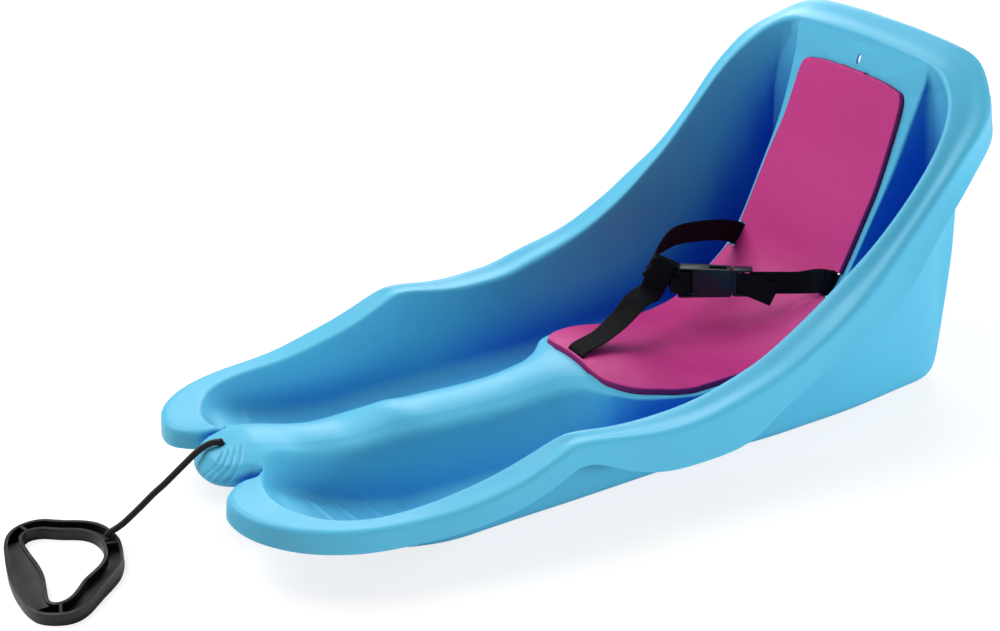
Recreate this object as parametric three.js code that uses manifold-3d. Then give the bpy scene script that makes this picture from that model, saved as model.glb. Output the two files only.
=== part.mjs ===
// Baby pull sled: one moulded plastic skin with two leg wells, a padded seat and backrest,
// a three-point webbing harness with a side release buckle, and a tow rope with a handle.
// Millimetres, +Z up, the nose towards -Y, the runners on z = 0, the middle of the sled over the origin.

import * as THREE from 'three';
import { mergeVertices } from 'three/addons/utils/BufferGeometryUtils.js';
import Module from 'manifold-3d';

// Sizes of the whole sled
const sledLength = 800;
const sledHalfWidth = 196;
const sledHeight = 357;

// Sizes of the skin
const skinWall = 3;
const rimBand = 37;
const rimDrop = 13;
const skirtDepth = 46;
const shoulderFillet = 22;
const wellFillet = 10;
const runnerFillet = 18;
const rimFillet = 4.5;
const skirtFillet = 5.5;
const pieceGap = 0.3;

// Sizes of the pad and of the recess that it lies in
const padMargin = 6;
const padThickness = 8;
const recessDepth = 3;
const recessClearance = 0.6;
const recessSlope = 1.2;
const padGap = 0.45;

// Sizes of the webbing and of its slots
const webbingWidth = 25;
const webbingThickness = 1.5;
const slotClearance = 2.4;
const waistSlotInset = 7.4;
const waistSlotHeight = 29;
const waistSlotWidth = 7;
const crotchSlotWidth = 28;
const crotchSlotLength = 5;
const stopRadius = 3.5;
const stopOverhang = 5;

// Sizes of the tow rope and its holes
const ropeDiameter = 6;
const ropeHoleClearance = 0.5;
const knotRadius = 7;
const hangingHoleWidth = 5;
const hangingHoleHeight = 11;

// Sizes of the pull handle
const handleWidth = 150;
const handleLength = 100.5;
const handleHeight = 11.5;
const handleWall = 3;
const gripRecess = 3;
const armRecess = 8.5;
const gripWebWidth = 106;
const gripWebLength = 33;
const crossRib = 2.5;
const handleKnotRadius = 3.4;

// Sizes of the buckle, along the strap (length), up (height) and through it (thickness)
const socketLength = 56;
const socketHeight = 34;
const socketMouthHeight = 30;
const socketThickness = 13;
const socketWall = 2.5;
const socketCorner = 4;
const cavityLength = 38;
const barRadius = 2.2;
const barInset = 5;
const strapWindow = 8;
const releaseWindowStart = 6;
const releaseWindowLength = 18;
const plugLength = 20;
const plugBarWidth = 3.5;
const plugSlotClearance = 0.6;
const tongueHeight = 4;
const prongHeight = 4.5;
const prongLength = 31;
const prongThickness = 6;
const prongButton = 2;
const slideClearance = 0.35;
const tailLength = 30;
const tailDroop = 9;

// A cut runs past the wall by this much
const cutOverrun = 12;

// Colour and roughness of each material
const finishes = {
  shell: [0x3fb4e6, 0.35],
  pad: [0xb4327f, 0.7],
  webbing: [0x141416, 0.85],
  plastic: [0x17181a, 0.35],
  rope: [0x101113, 0.85],
};

// Places on the skin, as shares of the sled's half width, length and height.
// Each row of the rim is one rib of the skin, from the nose round the lobe to the back:
// the rim's inner edge (x, y, z), and the point of the spine that the rib starts from (y, z).
const ribShares = [
  [0, -0.491, 0.218, -0.484, 0.228],
  [0.092, -0.487, 0.218, -0.475, 0.233],
  [0.148, -0.472, 0.217, -0.465, 0.238],
  [0.173, -0.454, 0.216, -0.453, 0.243],
  [0.214, -0.444, 0.21, -0.44, 0.243],
  [0.255, -0.449, 0.202, -0.429, 0.239],
  [0.306, -0.4575, 0.199, -0.419, 0.235],
  [0.398, -0.459, 0.194, -0.409, 0.228],
  [0.51, -0.45, 0.191, -0.399, 0.221],
  [0.602, -0.436, 0.189, -0.389, 0.217],
  [0.673, -0.417, 0.185, -0.379, 0.213],
  [0.724, -0.39, 0.181, -0.366, 0.207],
  [0.75, -0.361, 0.178, -0.349, 0.199],
  [0.76, -0.325, 0.179, -0.323, 0.191],
  [0.77, -0.29, 0.188, -0.294, 0.197],
  [0.781, -0.253, 0.203, -0.265, 0.206],
  [0.788, -0.215, 0.224, -0.223, 0.19],
  [0.801, -0.179, 0.254, -0.182, 0.183],
  [0.811, -0.155, 0.273, -0.155, 0.179],
  [0.821, -0.14, 0.276, -0.135, 0.177],
  [0.824, -0.12, 0.27, -0.115, 0.176],
  [0.819, -0.095, 0.259, -0.09, 0.179],
  [0.809, -0.062, 0.249, -0.058, 0.185],
  [0.806, -0.028, 0.246, -0.028, 0.188],
  [0.806, 0.009, 0.249, 0, 0.185],
  [0.811, 0.036, 0.259, 0.028, 0.174],
  [0.816, 0.064, 0.275, 0.055, 0.16],
  [0.816, 0.092, 0.293, 0.08, 0.143],
  [0.816, 0.121, 0.315, 0.11, 0.127],
  [0.811, 0.151, 0.348, 0.14, 0.119],
  [0.809, 0.181, 0.387, 0.172, 0.118],
  [0.809, 0.21, 0.431, 0.204, 0.126],
  [0.814, 0.237, 0.479, 0.235, 0.146],
  [0.819, 0.265, 0.529, 0.265, 0.182],
  [0.824, 0.291, 0.585, 0.292, 0.227],
  [0.827, 0.315, 0.644, 0.316, 0.275],
  [0.824, 0.338, 0.703, 0.334, 0.336],
  [0.814, 0.36, 0.762, 0.349, 0.412],
  [0.786, 0.38, 0.815, 0.366, 0.496],
  [0.745, 0.396, 0.86, 0.38, 0.569],
  [0.689, 0.409, 0.899, 0.394, 0.647],
  [0.622, 0.417, 0.927, 0.405, 0.731],
  [0.551, 0.423, 0.943, 0.416, 0.832],
  [0.485, 0.426, 0.95, 0.422, 0.885],
  [0.306, 0.429, 0.957, 0.427, 0.925],
  [0, 0.431, 0.961, 0.429, 0.937],
];

// The tunnel's shoulder and, behind it, the seat panel's edge: rib, x, y, z.
const shoulderShares = [
  [5, 0.153, -0.431, 0.224],
  [7, 0.158, -0.41, 0.21],
  [10, 0.163, -0.38, 0.185],
  [12, 0.163, -0.349, 0.171],
  [14, 0.168, -0.294, 0.168],
  [16, 0.173, -0.223, 0.16],
  [20, 0.173, -0.115, 0.148],
  [22, 0.184, -0.059, 0.157],
  [23, 0.23, -0.03, 0.162],
  [24, 0.347, -0.001, 0.155],
  [25, 0.408, 0.026, 0.143],
  [26, 0.436, 0.055, 0.133],
  [27, 0.444, 0.08, 0.122],
  [28, 0.444, 0.11, 0.111],
  [30, 0.444, 0.172, 0.111],
  [31, 0.444, 0.204, 0.12],
  [32, 0.444, 0.235, 0.141],
  [33, 0.444, 0.265, 0.179],
  [34, 0.444, 0.292, 0.224],
  [35, 0.444, 0.316, 0.273],
  [36, 0.444, 0.334, 0.335],
  [38, 0.449, 0.366, 0.496],
  [40, 0.457, 0.396, 0.664],
  [41, 0.464, 0.409, 0.765],
  [42, 0.477, 0.42, 0.863],
];

// The inner side of the well's floor: rib, x, y, z. It climbs the rear wall behind the floor.
const wellInnerShares = [
  [5, 0.23, -0.438, 0.179],
  [6, 0.235, -0.431, 0.148],
  [7, 0.235, -0.422, 0.132],
  [8, 0.235, -0.414, 0.118],
  [10, 0.245, -0.393, 0.088],
  [12, 0.26, -0.356, 0.05],
  [13, 0.276, -0.328, 0.031],
  [14, 0.291, -0.295, 0.015],
  [15, 0.306, -0.259, 0],
  [18, 0.327, -0.155, 0],
  [20, 0.337, -0.113, 0],
  [22, 0.357, -0.06, 0],
  [23, 0.383, -0.033, 0],
  [24, 0.434, -0.004, 0],
  [25, 0.469, 0.024, 0],
  [26, 0.487, 0.054, 0],
  [27, 0.495, 0.083, 0],
  [28, 0.5, 0.117, 0],
  [30, 0.5, 0.188, 0],
  [31, 0.5, 0.233, 0],
  [32, 0.5, 0.282, 0],
  [33, 0.5, 0.333, 0],
  [34, 0.5, 0.383, 0],
  [35, 0.5, 0.43, 0],
  [36, 0.5, 0.464, 0.014],
  [37, 0.5, 0.475, 0.073],
  [38, 0.5, 0.468, 0.252],
  [40, 0.492, 0.449, 0.602],
  [42, 0.49, 0.431, 0.877],
];

// The outer side of the well's floor: rib, x, y, z. It climbs the rear corner behind the floor.
const wellOuterShares = [
  [5, 0.25, -0.445, 0.176],
  [6, 0.316, -0.445, 0.16],
  [7, 0.418, -0.443, 0.157],
  [8, 0.5, -0.434, 0.148],
  [9, 0.566, -0.421, 0.132],
  [10, 0.617, -0.403, 0.106],
  [11, 0.653, -0.379, 0.076],
  [12, 0.668, -0.354, 0.05],
  [13, 0.676, -0.324, 0.028],
  [14, 0.681, -0.29, 0.014],
  [15, 0.686, -0.255, 0],
  [20, 0.694, -0.119, 0],
  [24, 0.699, 0.006, 0],
  [28, 0.715, 0.121, 0],
  [30, 0.735, 0.188, 0],
  [32, 0.735, 0.278, 0],
  [34, 0.705, 0.375, 0],
  [35, 0.685, 0.42, 0],
  [36, 0.665, 0.451, 0.017],
  [37, 0.638, 0.464, 0.073],
  [38, 0.668, 0.458, 0.246],
  [39, 0.699, 0.45, 0.42],
  [40, 0.704, 0.443, 0.583],
  [41, 0.679, 0.436, 0.734],
  [42, 0.571, 0.431, 0.874],
];

// Ribs of the nose and of the back's top have no well: their three well corners lie
// on the way from the spine to the rim at these shares.
const shelfShares = [
  [0, 0.4, 0.6, 0.8],
  [4, 0.7, 0.88, 0.94],
  [43, 0.94, 0.96, 0.98],
  [45, 0.4, 0.6, 0.8],
];
const lastNoseRib = 4;
const firstTopRib = 43;

// The rim's width, its drop and the skirt under it: rib, shares of rimBand, rimDrop and
// skirtDepth, and how far the skirt leans outward for each unit that it goes down.
const rimShares = [
  [0, 0.22, 0.85, 0.12, 0],
  [1, 0.22, 0.85, 0.13, 0],
  [2, 0.2, 0.8, 0.16, 0],
  [3, 0.14, 0.65, 0.22, 0],
  [4, 0.12, 0.35, 0.28, 0],
  [5, 0.2, 0.05, 0.34, 0],
  [6, 0.72, -0.24, 0.4, 0.06],
  [7, 0.98, -0.38, 0.44, 0.08],
  [8, 0.9, -0.32, 0.45, 0.06],
  [9, 0.75, -0.22, 0.47, 0.06],
  [10, 0.62, -0.15, 0.47, 0.06],
  [11, 0.57, -0.12, 0.47, 0.06],
  [12, 0.57, -0.1, 0.47, 0.06],
  [13, 0.66, -0.05, 0.47, 0.06],
  [14, 0.74, 0, 0.48, 0.06],
  [15, 0.8, 0, 0.5, 0.06],
  [16, 0.82, 0, 0.52, 0.06],
  [17, 0.77, 0, 0.48, 0.06],
  [18, 0.7, 0, 0.48, 0.06],
  [19, 0.66, 0, 0.48, 0.06],
  [20, 0.66, 0, 0.5, 0.06],
  [21, 0.72, 0, 0.65, 0.06],
  [22, 0.84, 0, 0.8, 0.06],
  [23, 0.95, 0, 0.89, 0.06],
  [24, 0.99, 0, 0.92, 0.06],
  [25, 1, 0, 0.98, 0.06],
  [26, 0.99, 0, 1, 0.06],
  [27, 0.98, 0.08, 0.85, 0.06],
  [28, 0.95, 0.22, 0.7, 0.06],
  [30, 0.94, 0.48, 0.62, 0.06],
  [31, 0.92, 0.64, 0.66, 0.06],
  [32, 0.87, 0.78, 0.8, 0.06],
  [33, 0.76, 0.86, 0.84, 0.08],
  [34, 0.66, 0.88, 0.76, 0.1],
  [35, 0.63, 0.84, 0.65, 0.12],
  [36, 0.65, 0.72, 0.61, 0.13],
  [37, 0.73, 0.48, 0.63, 0.12],
  [38, 0.86, 0.15, 0.78, 0.1],
  [39, 1.05, -0.15, 0.94, 0.12],
  [40, 1.06, -0.38, 1, 0.3],
  [41, 1.07, -0.7, 1, 0.5],
  [42, 1.08, -0.95, 0.98, 0.58],
  [43, 0.96, -1.15, 0.94, 0.6],
  [45, 0.78, -1.25, 0.91, 0.6],
];

// The roundness of the rim's and the skirt's edges: rib, share of rimFillet and skirtFillet.
const edgeRoundnessShares = [
  [0, 4],
  [3, 4],
  [5, 2],
  [7, 1],
];

// The shoulder's roundness: rib, share of shoulderFillet.
const roundnessShares = [
  [5, 0.7],
  [7, 1],
  [22, 1],
  [23, 0.6],
  [24, 0.18],
  [42, 0.18],
];

// How far the pad's edge lies inside the panel's edge: rib, share of padMargin.
const padMarginShares = [
  [23.72, 5.3],
  [23.86, 3.1],
  [24, 2.42],
  [24.4, 1.8],
  [25, 1.45],
  [26, 1.24],
  [27, 1],
  [30, 1],
  [38.6, 1.4],
  [40.2, 2.15],
  [41, 2.5],
  [41.6, 2.95],
  [41.85, 3.5],
  [42.05, 4.6],
  [42.2, 6.2],
  [42.35, 8.6],
  [42.45, 11.2],
  [42.5, 13],
];
const padFrontRib = 23.72;
const padTopRib = 42.5;
const beforePadRib = 23.6;
const afterPadRib = 42.62;
const padCornerRibs = [23.86, 24.4, 41.6, 41.85, 42.2, 42.4];
const padEndRibs = 0.04;
const padColumnShares = [-1, -0.5, 0, 0.5, 1];
const frontRunShare = 0.5;
const upperRunShare = 0.3;
const plainStepShare = 0.015;

// Where the openings lie along the spine, as rib numbers
const ropeHoleRib = 1.35;
const crotchSlotRib = 23.93;
const waistSlotRib = 35.65;
const hangingHoleRib = 43.2;

// Middle stops of the webbing, as shares of the half width, length and height,
// each with the direction across the webbing there.
const leftStrapShares = [
  [-0.36, 0.292, 0.35, 0.1, 0.3, 1],
  [-0.34, 0.25, 0.372, 0.1, 0.15, 1],
  [-0.306, 0.2, 0.387, 0.15, 0, 1],
];
const crotchStrapShares = [
  [-0.05, 0.045, 0.214, 1, 0.1, 0],
  [-0.1, 0.082, 0.234, 0.95, 0.35, -0.1],
  [-0.145, 0.115, 0.264, 0.75, 0.6, -0.3],
];

// Where the left strap passes through the crotch strap's loop, the way that it passes,
// and its stops there as shares of the webbing's width: along the loop, up and forward.
const loopPlaceShares = [-0.163, 0.154, 0.328];
const loopWayShares = [0.55, 0.74, -0.38];
const strapInLoopShares = [
  [-0.36, 0.5, -0.9],
  [-0.68, 0.24, -0.36],
  [-0.74, 0.08, -0.14],
  [-0.54, 0, 0],
  [0, 0, 0],
  [0.5, -0.02, 0],
];
// The stops of the right strap and of its tail along their run
const rightStrapShares = [0.66, 0.33, 0];
const tailShares = [0, 0.35, 0.7, 1];
const loopRiseShare = 0.57;
const loopFootShare = 0.9;
const buckleEndShares = [-0.102, 0.171, 0.305];

// The pull handle's outline and its finger hole, as shares of half its width and of its length,
// measured from the middle of its rope end.
const handleOutlineShares = [
  [-0.49, -0.93], [-0.65, -0.9], [-0.82, -0.845], [-0.93, -0.77], [-0.985, -0.67],
  [-0.99, -0.58], [-0.955, -0.49], [-0.88, -0.41], [-0.8, -0.33], [-0.7, -0.21], [-0.61, -0.13],
  [-0.5, -0.068], [-0.34, -0.025], [-0.12, 0], [0.06, -0.015], [0.22, -0.045], [0.36, -0.09],
  [0.49, -0.15], [0.61, -0.24], [0.72, -0.34], [0.84, -0.44], [0.94, -0.53], [0.995, -0.62],
  [1, -0.7], [0.965, -0.78], [0.9, -0.86], [0.8, -0.93], [0.63, -0.975], [0.29, -1],
  [-0.09, -0.985],
];
const handleHoleShares = [
  [-0.6, -0.74], [-0.73, -0.72], [-0.79, -0.665], [-0.79, -0.6], [-0.755, -0.535],
  [-0.69, -0.47], [-0.62, -0.4], [-0.56, -0.325], [-0.49, -0.255], [-0.4, -0.2], [-0.3, -0.17],
  [-0.19, -0.155], [-0.06, -0.16], [0.08, -0.18], [0.19, -0.215], [0.29, -0.275], [0.39, -0.37],
  [0.48, -0.46], [0.6, -0.54], [0.7, -0.62], [0.74, -0.7], [0.725, -0.755], [0.68, -0.785],
  [0.6, -0.785], [0.46, -0.765], [0.17, -0.725], [-0.07, -0.72], [-0.34, -0.735],
];
// The cross ribs of the handle's channel: place as above, and the turn of the rib.
const crossRibShares = [
  [-0.863, -0.672, 0.33],
  [-0.063, -0.08, 1.25],
  [0.833, -0.735, -0.3],
];

// The tow rope's free run, from the hole over the nose down to the handle
const ropePoints = [
  [0, -381.3, 87.2],
  [-1.7, -386.2, 86.6],
  [-3.2, -391.6, 84.4],
  [-4.8, -399.5, 79.5],
  [-6.6, -409.7, 70.9],
  [-8.5, -419.6, 62.2],
  [-10.5, -429.5, 53.4],
  [-12.4, -439.3, 45.7],
  [-14.3, -449.1, 36.9],
  [-16.3, -459.1, 28.2],
  [-18, -468, 21],
  [-19.2, -474.6, 17.1],
  [-20, -479, 15.1],
  [-20.4, -481.8, 13.3],
  [-20.5, -483, 11.3],
];
const ropeSides = 10;
const ropeSteps = 24;
const roundSides = 16;
const strapSteps = { left: 56, crotch: 52, right: 20, tail: 8 };
const handleMouthShares = [-0.213, -0.084];

const wasm = await Module();
wasm.setup();

// Piecewise cubic that keeps each rise and fall of a table's column
function follow(rows, column, at) {
  const last = rows.length - 1;
  if (at <= rows[0][0]) return rows[0][column];
  if (at >= rows[last][0]) return rows[last][column];
  const slope = (k) => (rows[k + 1][column] - rows[k][column]) / (rows[k + 1][0] - rows[k][0]);
  const bend = (k) => {
    if (k === 0) return slope(0);
    if (k === last) return slope(last - 1);
    const before = slope(k - 1);
    const after = slope(k);
    return before * after <= 0 ? 0 : (2 * before * after) / (before + after);
  };
  let k = 0;
  while (rows[k + 1][0] < at) k += 1;
  const span = rows[k + 1][0] - rows[k][0];
  const t = (at - rows[k][0]) / span;
  const rest = 1 - t;
  return rows[k][column] * (1 + 2 * t) * rest * rest
    + bend(k) * span * t * rest * rest
    + rows[k + 1][column] * t * t * (3 - 2 * t)
    - bend(k + 1) * span * t * t * rest;
}

const { smoothstep } = THREE.MathUtils;
const ribRows = ribShares.map((row, rib) => [rib, ...row]);

function place(xShare, yShare, zShare) {
  return new THREE.Vector3(xShare * sledHalfWidth, yShare * sledLength, zShare * sledHeight);
}

function rimPoint(rib) {
  return place(follow(ribRows, 1, rib), follow(ribRows, 2, rib), follow(ribRows, 3, rib));
}

function spinePoint(rib) {
  return place(0, follow(ribRows, 4, rib), follow(ribRows, 5, rib));
}

function guidePoint(rows, rib) {
  const point = place(follow(rows, 1, rib), follow(rows, 2, rib), follow(rows, 3, rib));
  point.z = Math.max(point.z, skinWall);
  return point;
}

// The way along the spine at a rib, and the way out of the skin there
const tangentReach = 0.3;
function spineWays(rib) {
  const along = spinePoint(rib + tangentReach).sub(spinePoint(rib - tangentReach)).normalize();
  return { along, out: new THREE.Vector3(0, -along.z, along.y) };
}

// A point of the crowned strip between the spine and the shoulder
function crownPoint(spine, shoulder, run) {
  const point = spine.clone().lerp(shoulder, run);
  point.z = spine.z + (shoulder.z - spine.z) * run * run;
  return point;
}

// How far a rib keeps to its guided corners: not at all on the nose and on the back's top
function guidance(rib) {
  const fromNose = smoothstep(rib, lastNoseRib, lastNoseRib + 1);
  return Math.min(fromNose, 1 - smoothstep(rib, firstTopRib - 1, firstTopRib));
}

// A corner between the spine and the rim, guided by its own rows or on the shelf between them
function cornerPoint(rib, column, rows) {
  const shelf = crownPoint(spinePoint(rib), rimPoint(rib), follow(shelfShares, column, rib));
  return shelf.lerp(guidePoint(rows, rib), guidance(rib));
}

function shoulderPoint(rib) {
  return cornerPoint(rib, 1, shoulderShares);
}

// A point on the seat or backrest, x from the middle, lifted out of the panel's surface
function seatPoint(rib, x, lift) {
  const shoulder = shoulderPoint(rib);
  const point = crownPoint(spinePoint(rib), shoulder, Math.abs(x) / shoulder.x);
  point.x = x;
  return point.addScaledVector(spineWays(rib).out, lift);
}

function padHalf(rib) {
  return shoulderPoint(rib).x - padMargin * follow(padMarginShares, 1, rib);
}

const waistSlotOffset = padHalf(waistSlotRib) - waistSlotInset;

// Points of a rounded corner; the fillet never takes more than its share of either side
const filletMostShare = 0.46;
const filletLeastShare = 0.15;
function roundCorner(before, corner, after, radius, count) {
  const back = before.clone().sub(corner);
  const ahead = after.clone().sub(corner);
  const shorter = Math.min(back.length(), ahead.length());
  const turn = Math.PI - back.angleTo(ahead);
  const wanted = radius * Math.tan(turn / 2);
  const reach = Math.min(Math.max(wanted, filletLeastShare * shorter), filletMostShare * shorter);
  const start = corner.clone().addScaledVector(back.normalize(), reach);
  const end = corner.clone().addScaledVector(ahead.normalize(), reach);
  const arc = new THREE.QuadraticBezierCurve3(start, corner, end);
  return arc.getPoints(count - 1);
}

// Where the points between the corners of a rib lie
const innerWallShare = 0.55;
const floorShare = 0.5;
const outerWallShares = [0.5, 0.75];

// How many points each corner of a rib has
const cornerPoints = { shoulder: 4, inner: 3, outer: 4, rim: 3, skirt: 3 };

// One rib of the skin, from the spine over the well to the foot of the skirt
function ribPoints(rib) {
  const spine = spinePoint(rib);
  const rim = rimPoint(rib);
  const shoulder = shoulderPoint(rib);
  const inner = cornerPoint(rib, 2, wellInnerShares);
  const outer = cornerPoint(rib, 3, wellOuterShares);

  const rimWay = rimPoint(rib + tangentReach).sub(rimPoint(rib - tangentReach)).normalize();
  const outward = new THREE.Vector3(rimWay.y, -rimWay.x, 0).normalize();
  if (rib === 0) outward.set(0, -1, 0);
  if (rib === ribRows.length - 1) outward.set(0, 1, 0);
  const down = new THREE.Vector3(rimWay.z * rimWay.x, rimWay.z * rimWay.y, rimWay.z * rimWay.z - 1);
  if (rim.x === 0) down.x = 0;
  down.normalize();
  const crease = rim.clone()
    .addScaledVector(outward, rimBand * follow(rimShares, 1, rib))
    .addScaledVector(down, rimDrop * follow(rimShares, 2, rib));
  const lean = down.clone().addScaledVector(outward, follow(rimShares, 4, rib)).normalize();
  const foot = crease.clone().addScaledVector(lean, skirtDepth * follow(rimShares, 3, rib));

  const inPad = rib >= padFrontRib && rib <= padTopRib;
  const edgeHalf = padHalf(rib) + recessClearance;
  const plainRun = rib < padFrontRib ? frontRunShare : upperRunShare;
  const lowRun = inPad ? edgeHalf / shoulder.x : plainRun;
  const highRun = inPad ? (edgeHalf + recessSlope) / shoulder.x : plainRun + plainStepShare;
  const sunk = inPad ? -recessDepth : 0;
  const out = spineWays(rib).out;
  const level = (run, lift) => crownPoint(spine, shoulder, run).addScaledVector(out, lift);
  const high = level(highRun, 0);
  const fillet = shoulderFillet * follow(roundnessShares, 1, rib);
  const edgeRoundness = follow(edgeRoundnessShares, 1, rib);
  return [
    level(0, sunk),
    level(lowRun / 2, sunk),
    level(lowRun, sunk),
    high,
    ...roundCorner(high, shoulder, inner, fillet, cornerPoints.shoulder),
    shoulder.clone().lerp(inner, innerWallShare),
    ...roundCorner(shoulder, inner, outer, wellFillet, cornerPoints.inner),
    inner.clone().lerp(outer, floorShare),
    ...roundCorner(inner, outer, rim, runnerFillet, cornerPoints.outer),
    ...outerWallShares.map((share) => outer.clone().lerp(rim, share)),
    ...roundCorner(outer, rim, crease, rimFillet * edgeRoundness, cornerPoints.rim),
    ...roundCorner(rim, crease, foot, skirtFillet * edgeRoundness, cornerPoints.skirt),
    foot,
  ];
}

// The rib numbers that the skin is built from: every rib, with a close pair at the pad's ends
function skinStops() {
  const stops = ribRows.map((row) => row[0]);
  stops.push(beforePadRib, padFrontRib, ...padCornerRibs, padTopRib, afterPadRib);
  return stops.sort((a, b) => a - b);
}

// A closed skin from the ribs: the upper face, the same face moved down by the wall, and the foot's edge
function skinGeometry() {
  const ribs = skinStops().map(ribPoints);
  const lastRib = ribs.length - 1;
  const lastColumn = ribs[0].length - 1;
  const points = [];
  const index = [1, -1].map((side) => ribs.map((rib, i) => rib.map((point, j) => {
    const shared = i === 0 || i === lastRib || j === 0;
    if (side < 0 && shared) return -1;
    points.push(new THREE.Vector3(shared ? 0 : point.x * side, point.y, point.z));
    return points.length - 1;
  })));
  index[1].forEach((rib, i) => rib.forEach((value, j) => {
    if (value < 0) rib[j] = index[0][i][j];
  }));

  const upper = [];
  index.forEach((grid, side) => {
    for (let i = 0; i < lastRib; i += 1) {
      for (let j = 0; j < lastColumn; j += 1) {
        const corners = [grid[i][j], grid[i][j + 1], grid[i + 1][j + 1], grid[i + 1][j]];
        const [a, b, c, d] = side === 0 ? corners : [corners[0], corners[3], corners[2], corners[1]];
        const straight = points[a].distanceTo(points[c]) <= points[b].distanceTo(points[d]);
        const pair = straight ? [[a, b, c], [a, c, d]] : [[a, b, d], [b, c, d]];
        pair.filter((t) => new Set(t).size === 3).forEach((t) => upper.push(t));
      }
    }
  });

  const normals = points.map(() => new THREE.Vector3());
  upper.forEach(([a, b, c]) => {
    const face = points[b].clone().sub(points[a]).cross(points[c].clone().sub(points[a]));
    if (face.lengthSq() > 0) face.normalize();
    [[a, b, c], [b, c, a], [c, a, b]].forEach(([p, q, r]) => {
      const angle = points[q].clone().sub(points[p]).angleTo(points[r].clone().sub(points[p]));
      if (Number.isFinite(angle)) normals[p].addScaledVector(face, angle);
    });
  });
  const below = points.map((point, k) => {
    const normal = normals[k].normalize();
    if (point.x === 0) normal.x = 0;
    return point.clone().addScaledVector(normal.normalize(), -skinWall);
  });

  const count = points.length;
  const faces = [...upper, ...upper.map(([a, b, c]) => [a + count, c + count, b + count])];
  index.forEach((grid, side) => {
    for (let i = 0; i < lastRib; i += 1) {
      const ends = [grid[i][lastColumn], grid[i + 1][lastColumn]];
      const [from, to] = side === 0 ? ends : [ends[1], ends[0]];
      faces.push([to, from, from + count], [to, from + count, to + count]);
    }
  });
  return meshGeometry([...points, ...below], faces);
}

function meshGeometry(points, faces) {
  const geometry = new THREE.BufferGeometry();
  const places = points.flatMap((point) => point.toArray());
  geometry.setAttribute('position', new THREE.Float32BufferAttribute(places, 3));
  geometry.setIndex(faces.flat());
  return geometry;
}

// A closed geometry as a solid for cutting and joining, and back
function solidOf(geometry) {
  const bare = geometry.clone();
  bare.deleteAttribute('normal');
  bare.deleteAttribute('uv');
  const merged = mergeVertices(bare);
  return new wasm.Manifold(new wasm.Mesh({
    numProp: 3,
    vertProperties: new Float32Array(merged.attributes.position.array),
    triVerts: new Uint32Array(merged.index.array),
  }));
}

function geometryOf(solid) {
  const mesh = solid.getMesh();
  const geometry = new THREE.BufferGeometry();
  geometry.setAttribute('position', new THREE.Float32BufferAttribute(mesh.vertProperties, 3));
  geometry.setIndex(Array.from(mesh.triVerts));
  return geometry;
}

function boxSolid(x, y, z, matrix) {
  return solidOf(new THREE.BoxGeometry(x, y, z).applyMatrix4(matrix));
}

function moved(x, y, z) {
  return new THREE.Matrix4().makeTranslation(x, y, z);
}

// A frame that stands on the seat's surface: x across, y up the back, z out of the surface
function seatFrame(rib, x, lift) {
  const ways = spineWays(rib);
  const frame = new THREE.Matrix4().makeBasis(new THREE.Vector3(1, 0, 0), ways.along, ways.out);
  return frame.setPosition(seatPoint(rib, x, lift));
}

function slotCutter(rib, x, across, along) {
  return boxSolid(across, along, 2 * cutOverrun, seatFrame(rib, x, 0));
}

function roundCutter(rib, width, height) {
  const cutter = new THREE.CylinderGeometry(width / 2, width / 2, 2 * cutOverrun, roundSides)
    .rotateX(Math.PI / 2).scale(1, height / width, 1);
  return solidOf(cutter.applyMatrix4(seatFrame(rib, 0, 0)));
}

function shellGeometry() {
  const ropeHoleWidth = ropeDiameter + 2 * ropeHoleClearance;
  return geometryOf(solidOf(skinGeometry())
    .subtract(slotCutter(waistSlotRib, waistSlotOffset, waistSlotWidth, waistSlotHeight))
    .subtract(slotCutter(waistSlotRib, -waistSlotOffset, waistSlotWidth, waistSlotHeight))
    .subtract(slotCutter(crotchSlotRib, 0, crotchSlotWidth, crotchSlotLength))
    .subtract(roundCutter(ropeHoleRib, ropeHoleWidth, ropeHoleWidth))
    .subtract(roundCutter(hangingHoleRib, hangingHoleWidth, hangingHoleHeight)));
}

// How far the pad's face lies out of the panel's surface
function padRise() {
  return padThickness + padGap - recessDepth;
}

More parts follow.
